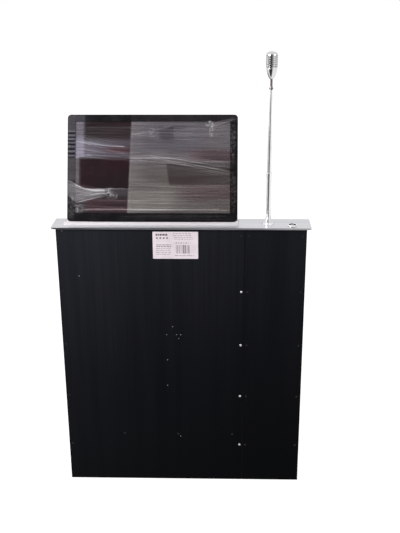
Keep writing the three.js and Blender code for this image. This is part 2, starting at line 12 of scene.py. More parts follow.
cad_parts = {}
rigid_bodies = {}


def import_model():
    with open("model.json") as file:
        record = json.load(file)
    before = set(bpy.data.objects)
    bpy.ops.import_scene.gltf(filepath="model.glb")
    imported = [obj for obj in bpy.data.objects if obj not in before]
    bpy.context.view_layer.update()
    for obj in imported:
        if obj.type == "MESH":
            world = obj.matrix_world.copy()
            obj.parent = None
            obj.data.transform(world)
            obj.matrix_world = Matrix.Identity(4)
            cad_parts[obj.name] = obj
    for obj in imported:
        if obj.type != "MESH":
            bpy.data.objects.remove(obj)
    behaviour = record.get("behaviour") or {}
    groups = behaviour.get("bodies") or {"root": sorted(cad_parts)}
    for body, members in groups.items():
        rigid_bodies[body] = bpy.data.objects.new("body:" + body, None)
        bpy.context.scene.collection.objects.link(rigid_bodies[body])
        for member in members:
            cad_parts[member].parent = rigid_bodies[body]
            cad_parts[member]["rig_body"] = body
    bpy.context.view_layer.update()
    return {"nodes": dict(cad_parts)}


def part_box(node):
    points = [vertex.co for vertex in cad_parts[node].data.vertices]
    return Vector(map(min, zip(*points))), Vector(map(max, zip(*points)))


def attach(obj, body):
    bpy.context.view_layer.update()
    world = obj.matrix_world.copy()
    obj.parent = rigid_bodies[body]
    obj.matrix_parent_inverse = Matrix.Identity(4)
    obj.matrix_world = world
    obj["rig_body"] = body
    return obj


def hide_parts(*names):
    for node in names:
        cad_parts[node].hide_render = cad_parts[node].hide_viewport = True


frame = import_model()
NODES = frame["nodes"]
MM = 0.001

# Camera: where the photographer stood, in metres and degrees.
CAMERA_AT = (0.0931, -1.8163, 1.2209)
CAMERA_PITCH = 20.35
CAMERA_YAW = -1.64
CAMERA_ROLL = -0.31
LENS_MM = 57.46

# Where the studio's dark screen stands, and the height that the floor mirrors it from.
# The screen is tall: heights count for less than distances along the floor.
DARK_SIDE = (-0.36, -0.93, -0.02)
DARK_TALL = 0.42
EYE_HEIGHT = 0.8
# The screen's soft edge, as cosines of the angle from its middle, and how bright things are.
DARK_OUTER = 0.68
DARK_INNER = 0.91
STUDIO_BRIGHT = 0.95
STUDIO_DARK = 0.03
FLOOR_GLOW = 0.82
FLOOR_HALF = 8.0

# Places that the pieces share, in millimetres.
MONITOR_X = -64.8
HINGE_Y = -5.0
HINGE_Z = 654.5
TILT_DEG = 21.0
MONITOR_W = 380.0
MONITOR_H = 235.0
MONITOR_FOOT = 4.0
PLATE_TOP = 650.0
MAST_X = 193.5
MAST_Y = -1.0
BUTTON_X = 246.5
BUTTON_Y = -17.0
FRONT_Y = -31.0
BACK_Y = 31.0


# ---- camera and stage


def place_camera():
    """The camera stands still."""
    data = bpy.data.cameras.new("camera")
    data.lens = LENS_MM
    data.sensor_width = 36
    data.sensor_fit = "AUTO"
    data.dof.use_dof = False
    camera = bpy.data.objects.new("camera", data)
    bpy.context.scene.collection.objects.link(camera)
    pitch = math.radians(CAMERA_PITCH)
    yaw = math.radians(CAMERA_YAW)
    roll = math.radians(CAMERA_ROLL)
    along = math.cos(pitch)
    forward = Vector((math.sin(yaw) * along, math.cos(yaw) * along, -math.sin(pitch)))
    level = Vector((math.cos(yaw), -math.sin(yaw), 0))
    upward = level.cross(forward)
    right = math.cos(roll) * level + math.sin(roll) * upward
    top = -math.sin(roll) * level + math.cos(roll) * upward
    turn = Matrix((right, top, -forward)).transposed()
    camera.matrix_world = Matrix.Translation(CAMERA_AT) @ turn.to_4x4()
    bpy.context.scene.camera = camera


def studio_value(graph, vector):
    """Bright all round, with a dark patch straight in front of the object."""
    nodes = graph.nodes
    links = graph.links
    squat = nodes.new("ShaderNodeVectorMath")
    squat.operation = "MULTIPLY"
    squat.inputs[1].default_value = (1, 1, DARK_TALL)
    links.new(vector, squat.inputs[0])
    unit = nodes.new("ShaderNodeVectorMath")
    unit.operation = "NORMALIZE"
    links.new(squat.outputs[0], unit.inputs[0])
    dot = nodes.new("ShaderNodeVectorMath")
    dot.operation = "DOT_PRODUCT"
    dot.inputs[1].default_value = Vector(DARK_SIDE).normalized()
    links.new(unit.outputs[0], dot.inputs[0])
    fade = nodes.new("ShaderNodeMapRange")
    fade.interpolation_type = "SMOOTHSTEP"
    fade.inputs["From Min"].default_value = DARK_OUTER
    fade.inputs["From Max"].default_value = DARK_INNER
    fade.inputs["To Min"].default_value = STUDIO_BRIGHT
    fade.inputs["To Max"].default_value = STUDIO_DARK
    links.new(dot.outputs["Value"], fade.inputs["Value"])
    return fade.outputs["Result"]


def make_world():
    """White behind the object; a soft studio for light and reflections."""
    world = bpy.data.worlds.new("studio")
    bpy.context.scene.world = world
    world.use_nodes = True
    graph = world.node_tree
    nodes = graph.nodes
    links = graph.links
    background = nodes["Background"]
    background.inputs["Color"].default_value = (1, 1, 1, 1)
    place = nodes.new("ShaderNodeTexCoord")
    value = studio_value(graph, place.outputs["Generated"])
    path = nodes.new("ShaderNodeLightPath")
    mix = nodes.new("ShaderNodeMix")
    mix.data_type = "FLOAT"
    links.new(path.outputs["Is Camera Ray"], mix.inputs["Factor"])
    links.new(value, mix.inputs[2])
    mix.inputs[3].default_value = 1.0
    links.new(mix.outputs[0], background.inputs["Strength"])


def make_floor():
    """Plain pale floor; in reflections it shows the studio's dark side too."""
    mesh = bpy.data.meshes.new("floor")
    half = FLOOR_HALF
    corners = [(-half, -half, 0), (half, -half, 0), (half, half, 0), (-half, half, 0)]
    mesh.from_pydata(corners, [], [(0, 1, 2, 3)])
    floor = bpy.data.objects.new("floor", mesh)
    floor.location.z = -0.0005
    bpy.context.scene.collection.objects.link(floor)
    mat = bpy.data.materials.new("floor_pale")
    mat.use_nodes = True
    graph = mat.node_tree
    nodes = graph.nodes
    links = graph.links
    nodes.remove(nodes["Principled BSDF"])
    out = nodes["Material Output"]
    seen = nodes.new("ShaderNodeEmission")
    seen.inputs["Strength"].default_value = FLOOR_GLOW
    paint = nodes.new("ShaderNodeBsdfDiffuse")
    paint.inputs["Color"].default_value = (0.35, 0.35, 0.35, 1)
    add = nodes.new("ShaderNodeAddShader")
    links.new(seen.outputs[0], add.inputs[0])
    links.new(paint.outputs[0], add.inputs[1])
    place = nodes.new("ShaderNodeTexCoord")
    lower = nodes.new("ShaderNodeVectorMath")
    lower.operation = "SUBTRACT"
    lower.inputs[1].default_value = (0.1, 0, EYE_HEIGHT)
    links.new(place.outputs["Object"], lower.inputs[0])
    hidden = nodes.new("ShaderNodeEmission")
    links.new(studio_value(graph, lower.outputs[0]), hidden.inputs["Strength"])
    path = nodes.new("ShaderNodeLightPath")
    choose = nodes.new("ShaderNodeMixShader")
    links.new(path.outputs["Is Camera Ray"], choose.inputs[0])
    links.new(hidden.outputs[0], choose.inputs[1])
    links.new(add.outputs[0], choose.inputs[2])
    links.new(choose.outputs[0], out.inputs["Surface"])
    mesh.materials.append(mat)


def soft_light(name, at, towards, size, power):
    """Rectangular studio light; places and sizes in metres, power in watts."""
    data = bpy.data.lights.new(name, "AREA")
    data.shape = "RECTANGLE"
    data.size = size[0]
    data.size_y = size[1]
    data.energy = power
    light = bpy.data.objects.new(name, data)
    bpy.context.scene.collection.objects.link(light)
    light.location = at
    light.rotation_mode = "QUATERNION"
    light.rotation_quaternion = (Vector(towards) - Vector(at)).to_track_quat("-Z", "Y")


place_camera()
make_world()
make_floor()
soft_light("key", (-1.0, -0.9, 1.55), (-0.15, 0, 0.55), (0.9, 0.7), 22)
soft_light("fill", (1.4, -0.8, 1.6), (0.1, 0, 0.6), (0.8, 0.8), 3)
bpy.context.scene.view_settings.view_transform = "Standard"
bpy.context.scene.view_settings.look = "None"


# ---- materials


def srgb(red, green, blue):
    """A colour given as it looks on screen, 0 to 255, as the linear values that shaders take."""
    def linear(c):
        c /= 255
        return c / 12.92 if c <= 0.04045 else ((c + 0.055) / 1.055) ** 2.4

    return (linear(red), linear(green), linear(blue), 1.0)


class Look:
    """One node material, built a step at a time. Sizes are in metres."""

    def __init__(self, name, color, rough, metal=0.0, specular=0.5):
        self.mat = bpy.data.materials.new(name)
        self.mat.use_nodes = True
        self.nodes = self.mat.node_tree.nodes
        self.links = self.mat.node_tree.links
        self.shader = self.nodes["Principled BSDF"]
        self.shader.inputs["Base Color"].default_value = color
        self.shader.inputs["Roughness"].default_value = rough
        self.shader.inputs["Metallic"].default_value = metal
        self.shader.inputs["Specular IOR Level"].default_value = specular
        self.place = self.nodes.new("ShaderNodeTexCoord").outputs["Object"]
        self.last_normal = None

    def scaled(self, tex, scale):
        """Feeds a texture with the place in space, times a scale for X, Y and Z."""
        mapping = self.nodes.new("ShaderNodeMapping")
        mapping.inputs["Scale"].default_value = scale
        self.links.new(self.place, mapping.inputs["Vector"])
        self.links.new(mapping.outputs["Vector"], tex.inputs["Vector"])
        tex.inputs["Scale"].default_value = 1.0

    def grain(self, scale, detail, rough=0.55, warp=0.0):
        """Noise between about 0.25 and 0.75; scale is the number of cells per metre in X, Y, Z."""
        tex = self.nodes.new("ShaderNodeTexNoise")
        self.scaled(tex, scale)
        tex.inputs["Detail"].default_value = detail
        tex.inputs["Roughness"].default_value = rough
        tex.inputs["Distortion"].default_value = warp
        return tex.outputs["Fac"]

    def cells(self, scale, feature="F1"):
        """Distance to the nearest cell's middle or edge; scale as for grain."""
        tex = self.nodes.new("ShaderNodeTexVoronoi")
        tex.feature = feature
        self.scaled(tex, scale)
        return tex.outputs["Distance"]

    def span(self, value, low, high, new_low, new_high):
        """Maps low to high onto new_low to new_high, and holds it there outside."""
        node = self.nodes.new("ShaderNodeMapRange")
        node.inputs["From Min"].default_value = low
        node.inputs["From Max"].default_value = high
        node.inputs["To Min"].default_value = new_low
        node.inputs["To Max"].default_value = new_high
        self.links.new(value, node.inputs["Value"])
        return node.outputs["Result"]

    def sum(self, *values, operation="ADD"):
        total = values[0]
        for value in values[1:]:
            node = self.nodes.new("ShaderNodeMath")
            node.operation = operation
            self.links.new(total, node.inputs[0])
            if isinstance(value, (int, float)):
                node.inputs[1].default_value = value
            else:
                self.links.new(value, node.inputs[1])
            total = node.outputs[0]
        return total

    def blend(self, factor, first, second):
        node = self.nodes.new("ShaderNodeMix")
        node.data_type = "RGBA"
        self.links.new(factor, node.inputs["Factor"])
        for socket, colour in ((node.inputs[6], first), (node.inputs[7], second)):
            if isinstance(colour, tuple):
                socket.default_value = colour
            else:
                self.links.new(colour, socket)
        return node.outputs[2]

    def colour(self, socket):
        self.links.new(socket, self.shader.inputs["Base Color"])
        return self

    def roughness(self, socket):
        self.links.new(socket, self.shader.inputs["Roughness"])
        return self

    def relief(self, height, depth):
        """Bump of the given depth in metres, on top of any earlier one."""
        node = self.nodes.new("ShaderNodeBump")
        node.inputs["Strength"].default_value = 1.0
        node.inputs["Distance"].default_value = depth
        self.links.new(height, node.inputs["Height"])
        if self.last_normal is not None:
            self.links.new(self.last_normal, node.inputs["Normal"])
        self.last_normal = node.outputs["Normal"]
        self.links.new(self.last_normal, self.shader.inputs["Normal"])
        return self


def brushed(name, light, dark, scale, rough, metal=1.0):
    """Metal with fine parallel scratches; scale is small along the brushing and large across it."""
    look = Look(name, light, rough, metal)
    fine = look.grain(scale, 4, 0.6)
    wide = look.grain(tuple(s * 0.22 for s in scale), 2, 0.5)
    cloud = look.grain((9, 9, 9), 3, 0.5)
    tone = look.sum(look.span(fine, 0.3, 0.7, 0.0, 0.6), look.span(wide, 0.35, 0.65, 0.0, 0.4))
    look.colour(look.blend(tone, dark, light))
    uneven = look.sum(
        look.span(fine, 0.3, 0.7, rough - 0.06, rough + 0.06),
        look.span(cloud, 0.3, 0.7, -0.04, 0.04),
    )
    look.roughness(uneven)
    look.relief(fine, 0.000012)
    return look


def painted(name, deep, dust_and_sheen, rough, specular=0.03):
    """Powder coat over sheet metal: an orange-peel skin, faint upright streaks, dust specks.

    It is paler towards the top and the left: a painted sheen of the studio light from the upper left.
    """
    look = Look(name, deep, rough, 0.0, specular)
    streak = look.grain((160, 160, 3), 3, 0.55)
    broad = look.grain((26, 26, 1.2), 2, 0.5)
    dust = look.grain((900, 900, 900), 2, 0.6)
    peel = look.grain((620, 620, 620), 2, 0.5)
    axes = look.nodes.new("ShaderNodeSeparateXYZ")
    look.links.new(look.place, axes.inputs["Vector"])
    # Painted sheen: the coat turns towards its paler colour with height and towards the left.
    height = look.span(axes.outputs["Z"], 0.0, 0.66, 0.0, 0.72)
    side = look.span(axes.outputs["X"], -0.28, 0.2, 0.28, 0.0)
    painted_sheen = look.sum(look.sum(height, side), 1.6, operation="POWER")
    grainy = look.sum(
        look.span(streak, 0.35, 0.7, 0.86, 1.08),
        look.span(broad, 0.35, 0.65, 0.84, 1.12),
        operation="MULTIPLY",
    )
    tone = look.sum(painted_sheen, grainy, operation="MULTIPLY")
    coat = look.blend(tone, deep, dust_and_sheen)
    look.colour(look.blend(look.span(dust, 0.72, 0.8, 0.0, 0.3), coat, srgb(70, 72, 78)))
    look.roughness(look.span(look.sum(tone, peel), 0.2, 1.4, rough - 0.07, rough + 0.08))
    look.relief(peel, 0.00003)
    return look


def worn_edge(name, paint, bare):
    """Paint on a folded or cut edge, rubbed thin, with bare metal showing in places."""
    look = Look(name, paint, 0.4, 0.0, 0.04)
    rub = look.grain((55, 55, 55), 4, 0.65)
    chip = look.grain((420, 420, 420), 3, 0.6)
    thin = look.sum(look.span(rub, 0.45, 0.75, 0.0, 0.45), look.span(chip, 0.6, 0.72, 0.0, 0.55))
    look.colour(look.blend(thin, paint, bare))
    look.roughness(look.span(thin, 0.0, 1.0, 0.42, 0.3))
    look.relief(chip, 0.00004)
    return look


def plastic(name, base, rough, texture=1500, depth=0.00002, specular=0.5):
    """Moulded plastic with a fine spark texture and uneven shine."""
    look = Look(name, base, rough, 0.0, specular)
    spark = look.grain((texture, texture, texture), 2, 0.5)
    cloud = look.grain((30, 30, 30), 3, 0.5)
    lighter = tuple(min(1.0, c * 1.5 + 0.004) for c in base[:3]) + (1.0,)
    look.colour(look.blend(look.span(cloud, 0.35, 0.7, 0.0, 0.6), base, lighter))
    look.roughness(look.span(cloud, 0.3, 0.7, rough - 0.05, rough + 0.07))
    look.relief(spark, depth)
    return look


def polished(name, base, rough):
    """Plated metal with hairline marks, finger smears and a slight waviness."""
    look = Look(name, base, rough, 1.0)
    hair = look.grain((1400, 1400, 60), 3, 0.6)
    smear = look.grain((70, 70, 40), 3, 0.6, 1.2)
    darker = tuple(c * 0.8 for c in base[:3]) + (1.0,)
    look.colour(look.blend(look.span(smear, 0.4, 0.75, 0.0, 0.5), base, darker))
    marks = look.sum(look.span(smear, 0.35, 0.75, 0.0, 0.1), look.span(hair, 0.45, 0.75, 0.0, 0.05))
    look.roughness(look.sum(marks, rough))
    look.relief(hair, 0.000004)
    return look


def plated(name, light, dark, rough):
    """Zinc plate: soft crystals, dull and bright patches."""
    look = Look(name, light, rough, 0.9)
    crystal = look.cells((130, 130, 130))
    cloud = look.grain((40, 40, 40), 4, 0.6)
    tone = look.sum(look.span(crystal, 0.1, 0.7, 0.0, 0.5), look.span(cloud, 0.35, 0.7, 0.0, 0.5))
    look.colour(look.blend(tone, light, dark))
    look.roughness(look.span(tone, 0.0, 1.0, rough - 0.08, rough + 0.12))
    look.relief(look.grain((800, 800, 800), 2), 0.00001)
    return look


def rubbery(name, base):
    """Dull rubber with a bloom of dust."""
    look = Look(name, base, 0.82, 0.0, 0.3)
    cloud = look.grain((200, 200, 200), 4, 0.6)
    dust_and_sheen = tuple(c + 0.02 for c in base[:3]) + (1.0,)
    look.colour(look.blend(look.span(cloud, 0.45, 0.75, 0.0, 0.7), base, dust_and_sheen))
    look.roughness(look.span(cloud, 0.3, 0.7, 0.74, 0.9))
    look.relief(look.grain((2500, 2500, 2500), 2), 0.00003)
    return look


def circuit(name):
    """Green board with paler tracks and pads."""
    look = Look(name, srgb(24, 84, 52), 0.38, 0.0, 0.5)
    tracks = look.cells((220, 220, 220), "DISTANCE_TO_EDGE")
    pads = look.cells((420, 420, 420))
    line = look.blend(look.span(tracks, 0.02, 0.06, 0.0, 1.0), srgb(46, 122, 76), srgb(20, 72, 44))
    look.colour(look.blend(look.span(pads, 0.10, 0.16, 1.0, 0.0), line, srgb(186, 180, 150)))
    look.roughness(look.span(tracks, 0.0, 0.3, 0.3, 0.5))
    look.relief(look.span(tracks, 0.02, 0.06, 1.0, 0.0), 0.00003)
    return look


def paper(name):
    """Label paper: fine fibres and faint staining."""
    look = Look(name, srgb(212, 200, 206), 0.75, 0.0, 0.25)
    fibre = look.grain((1800, 400, 1800), 4, 0.65)
    stain = look.grain((45, 45, 45), 3, 0.6)
    tone = look.sum(look.span(fibre, 0.35, 0.7, 0.0, 0.4), look.span(stain, 0.4, 0.7, 0.0, 0.6))
    look.colour(look.blend(tone, srgb(241, 230, 236), srgb(220, 206, 214)))
    look.roughness(look.span(fibre, 0.3, 0.7, 0.65, 0.85))
    look.relief(fibre, 0.00002)
    return look


def screen_glass(name):
    """Unlit screen under glass: nearly black, a little red where it is bare."""
    look = Look(name, srgb(38, 27, 31), 0.12, 0.0, 0.25)
    cloud = look.grain((7, 7, 7), 3, 0.6)
    smear = look.grain((60, 60, 60), 4, 0.65, 0.8)
    look.colour(look.blend(look.span(cloud, 0.4, 0.65, 0.0, 1.0), srgb(36, 22, 26), srgb(27, 24, 27)))
    look.roughness(look.span(smear, 0.35, 0.75, 0.08, 0.22))
    look.relief(cloud, 0.00001)
    return look


def stretch_film(name):
    """Clear wrapping film. The mesh carries how milky it is, with a painted reflection on its right
    side, and its tint.
    """
    look = Look(name, (0.3, 0.3, 0.3, 1), 0.3, 0.0, 0.25)
    haze_and_reflection = look.nodes.new("ShaderNodeAttribute")
    haze_and_reflection.attribute_name = "haze_and_reflection"
    tint = look.nodes.new("ShaderNodeAttribute")
    tint.attribute_name = "tint"
    thread = look.grain((5, 60, 420), 4, 0.6, 0.25)
    streak = look.grain((9, 90, 1100), 3, 0.6, 0.2)
    lines = look.sum(
        look.span(thread, 0.4, 0.72, 0.78, 1.22),
        look.span(streak, 0.4, 0.7, 0.88, 1.12),
        operation="MULTIPLY",
    )
    alpha = look.sum(haze_and_reflection.outputs["Fac"], lines, operation="MULTIPLY")
    look.links.new(look.sum(alpha, 0.012), look.shader.inputs["Alpha"])
    pale = look.span(streak, 0.5, 0.75, 0.0, 0.5)
    look.colour(look.blend(pale, tint.outputs["Color"], srgb(176, 172, 176)))
    look.roughness(look.span(thread, 0.3, 0.7, 0.22, 0.45))
    look.relief(thread, 0.0004)
    look.relief(streak, 0.0001)
    return look


def ink(name, tone):
    """Print that has faded in places."""
    look = Look(name, tone, 0.7, 0.0, 0.2)
    fade = look.grain((700, 700, 700), 3, 0.6)
    pale = tuple(c + 0.12 for c in tone[:3]) + (1.0,)
    look.colour(look.blend(look.span(fade, 0.4, 0.7, 0.0, 0.8), tone, pale))
    look.roughness(look.span(fade, 0.3, 0.7, 0.6, 0.8))
    look.relief(fade, 0.00001)
    return look


M_PLATE = brushed("plate_brushed", srgb(226, 227, 230), srgb(196, 197, 201), (14, 900, 900), 0.34)
M_BAR = brushed("bar_satin", srgb(240, 235, 237), srgb(216, 211, 214), (14, 900, 900), 0.5, 0.25)
# In each painted() look the second colour is its painted sheen, reached at the top left.
M_COVER = painted("cover_black", srgb(3, 4, 6), srgb(39, 40, 45), 0.36)
M_PANEL = painted("panel_black", srgb(8, 9, 11), srgb(34, 35, 39), 0.38)
M_EDGE = worn_edge("worn_paint_edge", srgb(12, 13, 15), srgb(56, 57, 61))
M_ZINC = plated("zinc_plate", srgb(186, 188, 190), srgb(150, 152, 154), 0.38)
M_BLACK_ZINC = plated("black_zinc_plate", srgb(38, 38, 41), srgb(24, 24, 27), 0.5)
M_STEEL = brushed("ground_steel", srgb(205, 207, 210), srgb(170, 172, 176), (900, 900, 40), 0.24)
FINE = (1500, 1500, 1500)
M_SCREW = brushed("screw_steel", srgb(240, 240, 241), srgb(214, 214, 217), FINE, 0.35, 0.5)
M_SCREW_BLACK = painted("screw_black", srgb(22, 23, 26), srgb(60, 61, 65), 0.4, 0.3)
M_RIVET = brushed("rivet_dull", srgb(158, 159, 163), srgb(128, 129, 133), FINE, 0.42, 0.6)
M_SATIN = polished("satin_chrome", (0.88, 0.872, 0.88, 1), 0.42)
M_CHROME = polished("mast_chrome", (0.95, 0.94, 0.945, 1), 0.25)
M_MIRROR = polished("microphone_chrome", (0.84, 0.83, 0.84, 1), 0.08)
M_GRILLE = polished("grille_chrome", (0.72, 0.71, 0.72, 1), 0.14)
M_NECK = polished("neck_dark_chrome", (0.2, 0.18, 0.19, 1), 0.3)
M_DARK_METAL = brushed("dark_metal", srgb(62, 60, 64), srgb(44, 43, 46), (600, 600, 90), 0.4, 0.8)
M_RUBBER = rubbery("belt_rubber", srgb(24, 24, 25))
M_PLASTIC = plastic("black_plastic", srgb(26, 26, 28), 0.55)
M_BEZEL = plastic("bezel_plastic", srgb(12, 11, 14), 0.25, 2200, 0.000008, 0.07)
M_SHELL = plastic("shell_plastic", srgb(27, 27, 30), 0.6, 1100, 0.00004)
M_SCREEN = screen_glass("screen_glass")
M_FILM = stretch_film("stretch_film")
M_PAPER = paper("label_paper")
M_INK = ink("label_ink", srgb(84, 78, 84))
M_BOARD = circuit("green_board")
M_GOLD = polished("gold_contact", (0.83, 0.62, 0.28, 1), 0.2)


# ---- mesh helpers

ARC_STEPS = 4
SCREW_RINGS = 14
SCREW_SIDES = 48
CROSS_ARM = 0.16
CROSS_REACH = 0.55


def shade(mesh, look, sharp):
    """Gives a mesh its material, and smooth shading up to the sharp angle in degrees."""
    mesh.materials.clear()
    mesh.materials.append(look.mat)
    for polygon in mesh.polygons:
        polygon.use_smooth = True
    mesh.set_sharp_from_angle(angle=math.radians(sharp))


def piece(name, mesh, look, body, sharp=35):
    """A visible piece that rides on a body."""
    shade(mesh, look, sharp)
    obj = bpy.data.objects.new(name, mesh)
    bpy.context.scene.collection.objects.link(obj)
    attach(obj, body)
    return obj


def mesh_of(name, bm):
    """Mesh from a bmesh, its faces turned outwards."""
    bmesh.ops.recalc_face_normals(bm, faces=bm.faces)
    mesh = bpy.data.meshes.new(name)
    bm.to_mesh(mesh)
    bm.free()
    return mesh


def bevel(obj, width, segments=2):
    """Rounds the edges of a piece; width is in mm."""
    mod = obj.modifiers.new("edge", "BEVEL")
    mod.width = width * MM
    mod.segments = segments
    mod.limit_method = "ANGLE"
    mod.angle_limit = math.radians(30)
    mod.use_clamp_overlap = True
    mod.harden_normals = True
    return mod


def refined(node, look, width, segments=2, edge=None):
    """The CAD node's own shape with rounded edges, which may have a look of their own."""
    source = NODES[node]
    bm = bmesh.new()
    bm.from_mesh(source.data)
    bmesh.ops.remove_doubles(bm, verts=bm.verts, dist=2e-6)
    bmesh.ops.dissolve_limit(bm, angle_limit=math.radians(0.8), verts=bm.verts, edges=bm.edges)
    shape = piece(node + "_shape", mesh_of(node + "_shape", bm), look, source["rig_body"])
    rounding = bevel(shape, width, segments)
    if edge:
        shape.data.materials.append(edge.mat)
        rounding.material = 1
    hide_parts(node)
    return shape


def dress(look, *nodes):
    """Puts a material on CAD nodes that stay as they are."""
    for node in nodes:
        mesh = NODES[node].data
        if not mesh.materials:
            mesh.materials.append(look.mat)
        for i in range(len(mesh.materials)):
            mesh.materials[i] = look.mat


def turned_mesh(name, profile, at, segments):
    """Turned shape about an upright axis, from (radius, height) pairs in mm."""
    bm = bmesh.new()
    rings = []
    for radius, height in profile:
        if radius < 1e-6:
            rings.append([bm.verts.new((at[0] * MM, at[1] * MM, (at[2] + height) * MM))])
            continue
        ring = []
        for i in range(segments):
            a = 2 * math.pi * i / segments
            x = at[0] + radius * math.cos(a)
            y = at[1] + radius * math.sin(a)
            ring.append(bm.verts.new((x * MM, y * MM, (at[2] + height) * MM)))
        rings.append(ring)
    for low, high in zip(rings, rings[1:]):
        for i in range(segments):
            j = (i + 1) % segments
            if len(low) == 1 and len(high) == 1:
                continue
            if len(low) == 1:
                bm.faces.new((low[0], high[j], high[i]))
            elif len(high) == 1:
                bm.faces.new((low[i], low[j], high[0]))
            else:
                bm.faces.new((low[i], low[j], high[j], high[i]))
    return mesh_of(name, bm)


def rounded(profile, radius):
    """The profile again, with each inner corner turned into an arc."""
    points = [Vector(p) for p in profile]
    out = [tuple(points[0])]
    for before, here, after in zip(points, points[1:], points[2:]):
        a = before - here
        b = after - here
        if a.length < 1e-6 or b.length < 1e-6:
            out.append(tuple(here))
            continue
        cut = min(radius, a.length * 0.45, b.length * 0.45)
        start = here + a.normalized() * cut
        end = here + b.normalized() * cut
        for i in range(ARC_STEPS + 1):
            t = i / ARC_STEPS
            p = (1 - t) ** 2 * start + 2 * t * (1 - t) * here + t * t * end
            out.append((p.x, p.y))
    out.append(tuple(points[-1]))
    return out


def turned_piece(name, profile, at, look, body, sharp, node=None, segments=96):
    """A turned piece, which may stand for a CAD node."""
    obj = piece(name, turned_mesh(name, profile, at, segments), look, body, sharp)
    if node:
        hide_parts(node)


def boxes_piece(name, boxes, look, body, rounding=None):
    """One piece of many boxes, each given by two corners in mm, its edges rounded if asked."""
    bm = bmesh.new()
    for low, high in boxes:
        size = [(b - a) * MM for a, b in zip(low, high)]
        middle = [(a + b) / 2 * MM for a, b in zip(low, high)]
        matrix = Matrix.Translation(middle) @ Matrix.Diagonal((*size, 1))
        bmesh.ops.create_cube(bm, size=1, matrix=matrix)
    obj = piece(name, mesh_of(name, bm), look, body)
    if rounding:
        bevel(obj, rounding)


def screw_mesh(name, radius, height):
    """Domed head with a cross recess, its axis along +Z and its seat at the origin, in mm."""
    bm = bmesh.new()
    grid = []
    arm = radius * CROSS_ARM
    reach = radius * CROSS_REACH
    centre = bm.verts.new((0, 0, height * 0.25 * MM))
    for k in range(1, SCREW_RINGS + 1):
        r = radius * k / SCREW_RINGS
        row = []
        for i in range(SCREW_SIDES):
            a = 2 * math.pi * i / SCREW_SIDES
            x = r * math.cos(a)
            y = r * math.sin(a)
            z = height * math.sqrt(max(0.0, 1 - (r / radius) ** 2 * 0.82))
            in_cross = min(abs(x), abs(y)) < arm and max(abs(x), abs(y)) < reach
            if in_cross or r < arm * 1.5:
                z -= height * 0.6
            row.append(bm.verts.new((x * MM, y * MM, z * MM)))
        grid.append(row)
    skirt = []
    for i in range(SCREW_SIDES):
        a = 2 * math.pi * i / SCREW_SIDES
        skirt.append(bm.verts.new((radius * math.cos(a) * MM, radius * math.sin(a) * MM, 0)))
    grid.append(skirt)
    for i in range(SCREW_SIDES):
        j = (i + 1) % SCREW_SIDES
        bm.faces.new((centre, grid[0][i], grid[0][j]))
    for low, high in zip(grid, grid[1:]):
        for i in range(SCREW_SIDES):
            j = (i + 1) % SCREW_SIDES
            bm.faces.new((low[i], high[i], high[j], low[j]))
    bm.faces.new(list(reversed(skirt)))
    return mesh_of(name, bm)


def face_front(x, z, spin=0.0):
    """Stands a head that points along +Z out of the front cover."""
    turn = Matrix.Rotation(math.pi / 2, 4, "X") @ Matrix.Rotation(spin, 4, "Z")
    return Matrix.Translation((x * MM, FRONT_Y * MM, z * MM)) @ turn


def face_back(x, z, y=BACK_Y, spin=0.0):
    """Stands a head that points along +Z out of the rear cover."""
    turn = Matrix.Rotation(-math.pi / 2, 4, "X") @ Matrix.Rotation(spin, 4, "Z")
    return Matrix.Translation((x * MM, y * MM, z * MM)) @ turn


def copies(name, mesh, look, places):
    """Pieces on the housing that share one mesh, each at its own place."""
    shade(mesh, look, 40)
    for i, place in enumerate(places):
        obj = bpy.data.objects.new(f"{name}_{i + 1}", mesh)
        bpy.context.scene.collection.objects.link(obj)
        obj.matrix_world = place
        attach(obj, "housing")


def screws(name, radius, height, look, places):
    """Screws of one kind on the housing; radius and height are the head's, in mm."""
    copies(name, screw_mesh(name, radius, height), look, places)


# ---- housing

refined("top_plate", M_PLATE, 0.5, 3)
for cover in ("front_cover_monitor_bay", "front_cover_mic_bay"):
    refined(cover, M_COVER, 0.35, 2, M_EDGE)
for panel in ("rear_cover", "side_panel_left", "side_panel_right", "bottom_plate"):
    refined(panel, M_PANEL, 0.35, 2, M_EDGE)
refined("label_plate", M_PAPER, 0.1, 1)

rng = random.Random(7)
ROW_Z = [630.5, 497.5, 364.5, 231.5, 99.0]
COLUMN_BRIGHT = 135.0
COLUMN_DARK = 148.5
COLUMN_RIGHT = 268.5
COLUMN_LEFT = -270.0
SHELF_SCREW_Z = 128.0
SIDE_X = 278.0


def spins():
    return rng.uniform(0, math.pi)


bright = [face_front(COLUMN_BRIGHT, z, spin=spins()) for z in ROW_Z[1:]]
screws("cover_screw_bright", 2.5, 1.8, M_SCREW, bright)
dim = [face_front(COLUMN_DARK, z, spin=spins()) for z in ROW_Z[1:]]
dim += [face_front(COLUMN_RIGHT, z, spin=spins()) for z in ROW_Z]
dim += [face_front(COLUMN_LEFT, z, spin=spins()) for z in ROW_Z]
dim += [face_front(x, ROW_Z[0], spin=spins()) for x in (COLUMN_BRIGHT - 1.0, COLUMN_DARK + 1.5)]
dim += [face_front(x, SHELF_SCREW_Z, spin=spins()) for x in (-142.0, -12.5, 117.0)]
screws("cover_screw_black", 2.3, 0.9, M_SCREW_BLACK, dim)

# Small dull rivet ends that hold the inner brackets to the front cover, as (x, z) in mm.
RIVETS = [
    (-22, 410), (-13, 390.5), (-3.5, 390), (-36, 390), (-8, 380.5),
    (-35, 325.5), (-36, 259), (-7, 121), (-231, 534), (-264, 641),
]
rivet = turned_mesh("rivet", [(0, 0.4), (0.55, 0.37), (0.9, 0.22), (1.1, 0), (0, 0)], (0, 0, 0), 24)
copies("rivet", rivet, M_RIVET, [face_front(x, z) for x, z in RIVETS])

